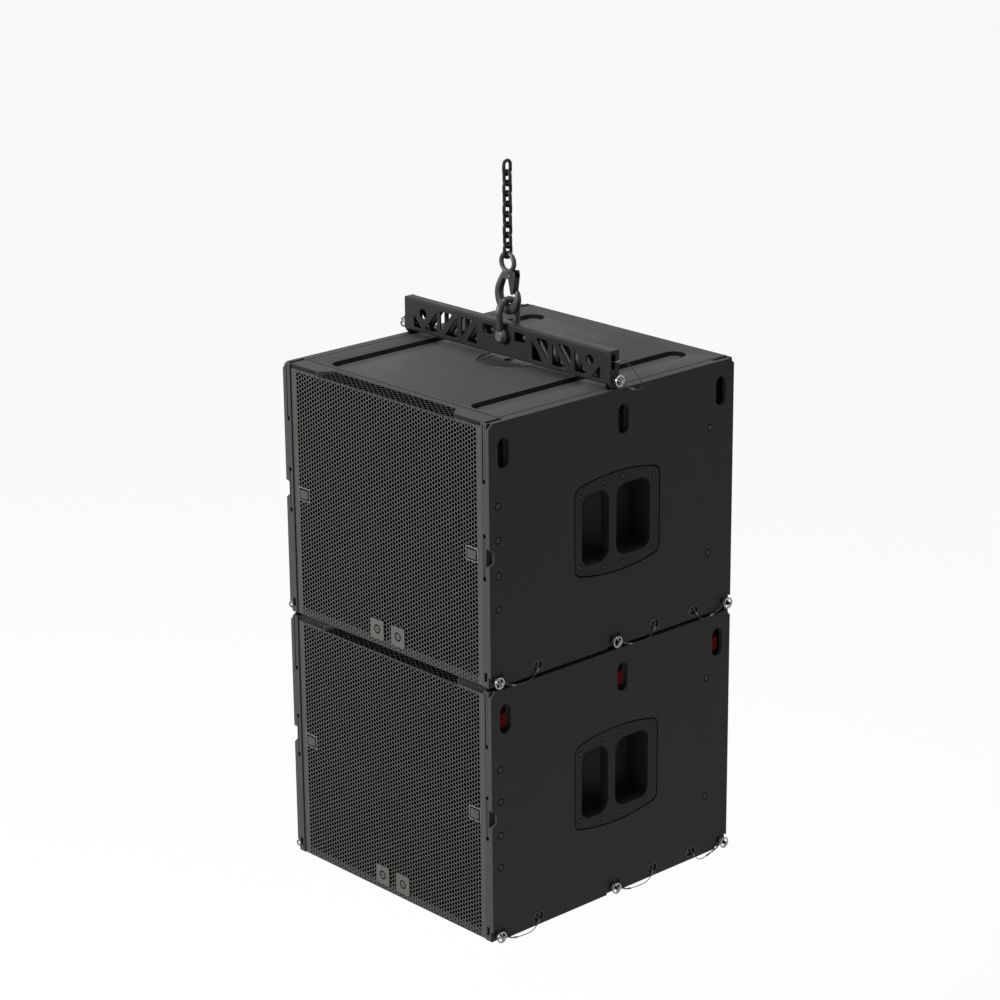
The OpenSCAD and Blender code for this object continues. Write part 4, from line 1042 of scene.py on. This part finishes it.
@dataclass
class LanyardSet:
    """All fourteen lanyards, on the same routes as their solids.

    A route goes from the ring of the pin to the anchor.
    """

    # along the depth: pins, anchors, and the way that a lanyard runs
    pin_y_mm: tuple[float, ...] = (-367.0, 0.0, 367.0)
    anchor_y_mm: tuple[float, ...] = (-241.0, 131.0, 262.0)
    way: tuple[float, ...] = (1.0, 1.0, -1.0)
    # across, distance from the pin or the anchor, and height above the cabinet's underside
    from_pin_mm: tuple[Triple, ...] = (
        (360.0, 15.3, 13.5), (356.0, 25.0, 4.0), (352.4, 55.0, -7.0))
    from_anchor_mm: tuple[Triple, ...] = (
        (352.2, 27.0, -8.0), (353.4, 9.0, 6.0), (350.5, 0.0, 20.0))
    # across, along the depth, and height above the cabinet's top
    bar_mm: tuple[Triple, ...] = (
        (363.0, 11.5, 13.0), (358.0, 40.0, -4.0), (357.0, 71.0, -12.0), (357.0, 75.0, 0.0),
        (357.0, 58.0, 27.0), (357.0, 36.0, 50.0), (356.0, 19.0, 66.0), (352.0, 4.0, 64.0),
        (344.8, -4.0, 64.0))

    @staticmethod
    def metres(route: Iterable[Triple], side: float, level: float) -> list[Vector]:
        """Lays a route on one side, with its heights above a level."""
        return [Vector((side * x * MM, y * MM, level + z * MM)) for x, y, z in route]

    def make(self) -> None:
        """Builds every lanyard."""
        replaced = True
        for cabinet in CABINETS:
            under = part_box(f"{cabinet}_side_panels")[0].z
            for place, pin, anchor, way in zip(PLACES, self.pin_y_mm, self.anchor_y_mm,
                                               self.way):
                route = ([(x, pin + way * off, z) for x, off, z in self.from_pin_mm]
                         + [(x, anchor - way * off, z) for x, off, z in self.from_anchor_mm])
                for name, side in SIDES.items():
                    Lanyard(f"{cabinet}_lanyard_{place}_{name}",
                            f"{cabinet}_pin_{place}_{name}",
                            self.metres(route, side, under)).make(replaced)
                    replaced = False
        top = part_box("upper_side_panels")[1].z
        for name, side in SIDES.items():
            Lanyard(f"bar_lanyard_{name}", f"bar_pin_{name}",
                    self.metres(self.bar_mm, side, top)).make(replaced)
        log.info("lanyards made")


# ---- rigging


class Rigging:
    """Chain, hook, shackle, fly bar, links and pins."""

    def make(self) -> None:
        """Dresses the rigging's nodes."""
        links = [f"link_{place}_{side}" for place in ("front", "rear") for side in SIDES]
        for finish, nodes in ((CHAIN_OXIDE, ["hoist_chain"]), (LATCH_STEEL, ["hook_latch"]),
                              (ZINC_PLATE, ["hook_latch_rivet", "fly_bar_bush", "shackle_pin"]),
                              (SHACKLE_FORGING, ["shackle_bow"]),
                              (CHROME_PAINTED_REFLECTION, ["bar_pin_left", "bar_pin_right"]),
                              (ANCHOR_CAST, ["lanyard_anchors"]),
                              (GRILLE_POWDER, ["grille_clips"]),
                              # the upper middle links have no red on their tab, which is painted
                              # black as the shade of its window
                              (LINK_PAINTED_SHADE, [*links, "upper_middle_links"])):
            coat(finish.make(), *nodes)
        coat(link_with_tab(), "lower_links")
        for node in ("fly_bar_tube", "fly_bar_end_plates"):
            softened(node, 0.6, BAR_POWDER)
        softened("hook_body", 0.0, HOOK_FORGING, smooth_deg=75.0)
        log.info("rigging dressed")


# ---- stage


@dataclass
class Studio:
    """Camera, pale floor and soft light."""

    eye: Triple = (4.8240, -4.4690, 1.3708)
    right: Triple = (0.6771, 0.7359, 0.0)
    up: Triple = (-0.2313, 0.2128, 0.9493)
    roll_deg: float = -0.507
    lens_mm: float = 106.6
    floor_z: float = -2.6
    floor_radius: float = 30.0
    # share of the floor's own light in what the camera sees of it
    floor_glow: float = 0.93
    world_light: float = 0.11
    middle: Triple = (0.0, 0.0, -0.9)
    # name, place, size and power of the soft boxes
    boxes: tuple[tuple[str, Triple, float, float], ...] = (
        ("front_box", (-2.0, -5.5, 1.5), 2.5, 540.0),
        ("top_box", (-0.5, 0.5, 4.0), 3.0, 212.0))

    def camera(self) -> None:
        """Places the camera where the array is seen from its front right, a little above."""
        data = bpy.data.cameras.new("camera")
        data.sensor_width = 36.0
        data.lens = self.lens_mm
        data.clip_start, data.clip_end = 0.1, 100.0
        right, up = Vector(self.right).normalized(), Vector(self.up).normalized()
        axes = Matrix((right, up, right.cross(up))).transposed().to_4x4()
        roll = Matrix.Rotation(math.radians(self.roll_deg), 4, "Z")
        camera = bpy.data.objects.new("camera", data)
        camera.matrix_world = Matrix.Translation(self.eye) @ axes @ roll
        bpy.context.scene.collection.objects.link(camera)
        bpy.context.scene.camera = camera

    def floor(self) -> None:
        """Lays a wide pale floor below the hanging array."""
        bm = bmesh.new()
        bmesh.ops.create_circle(bm, cap_ends=True, segments=64, radius=self.floor_radius,
                                matrix=Matrix.Translation((0, 0, self.floor_z)))
        material = bpy.data.materials.new("pale_floor")
        tree = bare(material)
        matt = put(tree, "ShaderNodeBsdfDiffuse", {"Color": linear("#f0f0ee")})
        glow = put(tree, "ShaderNodeEmission", {"Color": (1, 1, 1, 1), "Strength": 1.0})
        self.blend(tree, "ShaderNodeOutputMaterial", matt, glow, self.floor_glow)
        as_object(bm, "floor", [material])

    @staticmethod
    def blend(tree: NodeTree, out: str, light: Node, seen: Node, share: float) -> None:
        """Gives camera, glossy and transmission rays another shader than the rest.

        Args:
            tree: tree of the material or the world.
            out: class name of its output node.
            light: shader for the rest.
            seen: shader for those rays.
            share: share of the second shader in what they see.
        """
        path = put(tree, "ShaderNodeLightPath").outputs
        first = put(tree, "ShaderNodeMath", {0: path["Is Camera Ray"], 1: path["Is Glossy Ray"]},
                    operation="MAXIMUM").outputs[0]
        rays = put(tree, "ShaderNodeMath", {0: first, 1: path["Is Transmission Ray"]},
                   operation="MAXIMUM").outputs[0]
        part = put(tree, "ShaderNodeMath", {0: rays, 1: share}, operation="MULTIPLY").outputs[0]
        mix = put(tree, "ShaderNodeMixShader", {0: part, 1: light.outputs[0],
                                                2: seen.outputs[0]})
        put(tree, out, {"Surface": mix.outputs[0]})

    def world(self) -> None:
        """Sets a soft even world that looks white to the camera."""
        world = bpy.data.worlds.new("world")
        bpy.context.scene.world = world
        tree = bare(world)
        soft, white = (put(tree, "ShaderNodeBackground", {"Color": (1, 1, 1, 1), "Strength": s})
                       for s in (self.world_light, 1.0))
        self.blend(tree, "ShaderNodeOutputWorld", soft, white, 1.0)

    def lamp(self, name: str, at: Sequence[float], size: float, power: float) -> None:
        """Hangs a square soft box that looks at the middle of the array."""
        data = bpy.data.lights.new(name, "AREA")
        data.size = size
        data.energy = power
        lamp = bpy.data.objects.new(name, data)
        aim = Vector(self.middle) - Vector(at)
        lamp.matrix_world = (Matrix.Translation(Vector(at))
                             @ aim.to_track_quat("-Z", "Y").to_matrix().to_4x4())
        bpy.context.scene.collection.objects.link(lamp)

    def make(self) -> None:
        """Builds the whole stage."""
        self.camera()
        self.floor()
        self.world()
        for box in self.boxes:
            self.lamp(*box)
        bpy.context.scene.view_settings.view_transform = "Standard"
        log.info("stage set")


def main() -> None:
    """Builds the stage and the array."""
    logging.basicConfig(level=logging.INFO, format="%(name)s: %(message)s")
    Studio().make()
    LanyardSet().make()
    Rigging().make()
    for name in CABINETS:
        Cabinet(name).make()


if __name__ == "__main__":
    main()
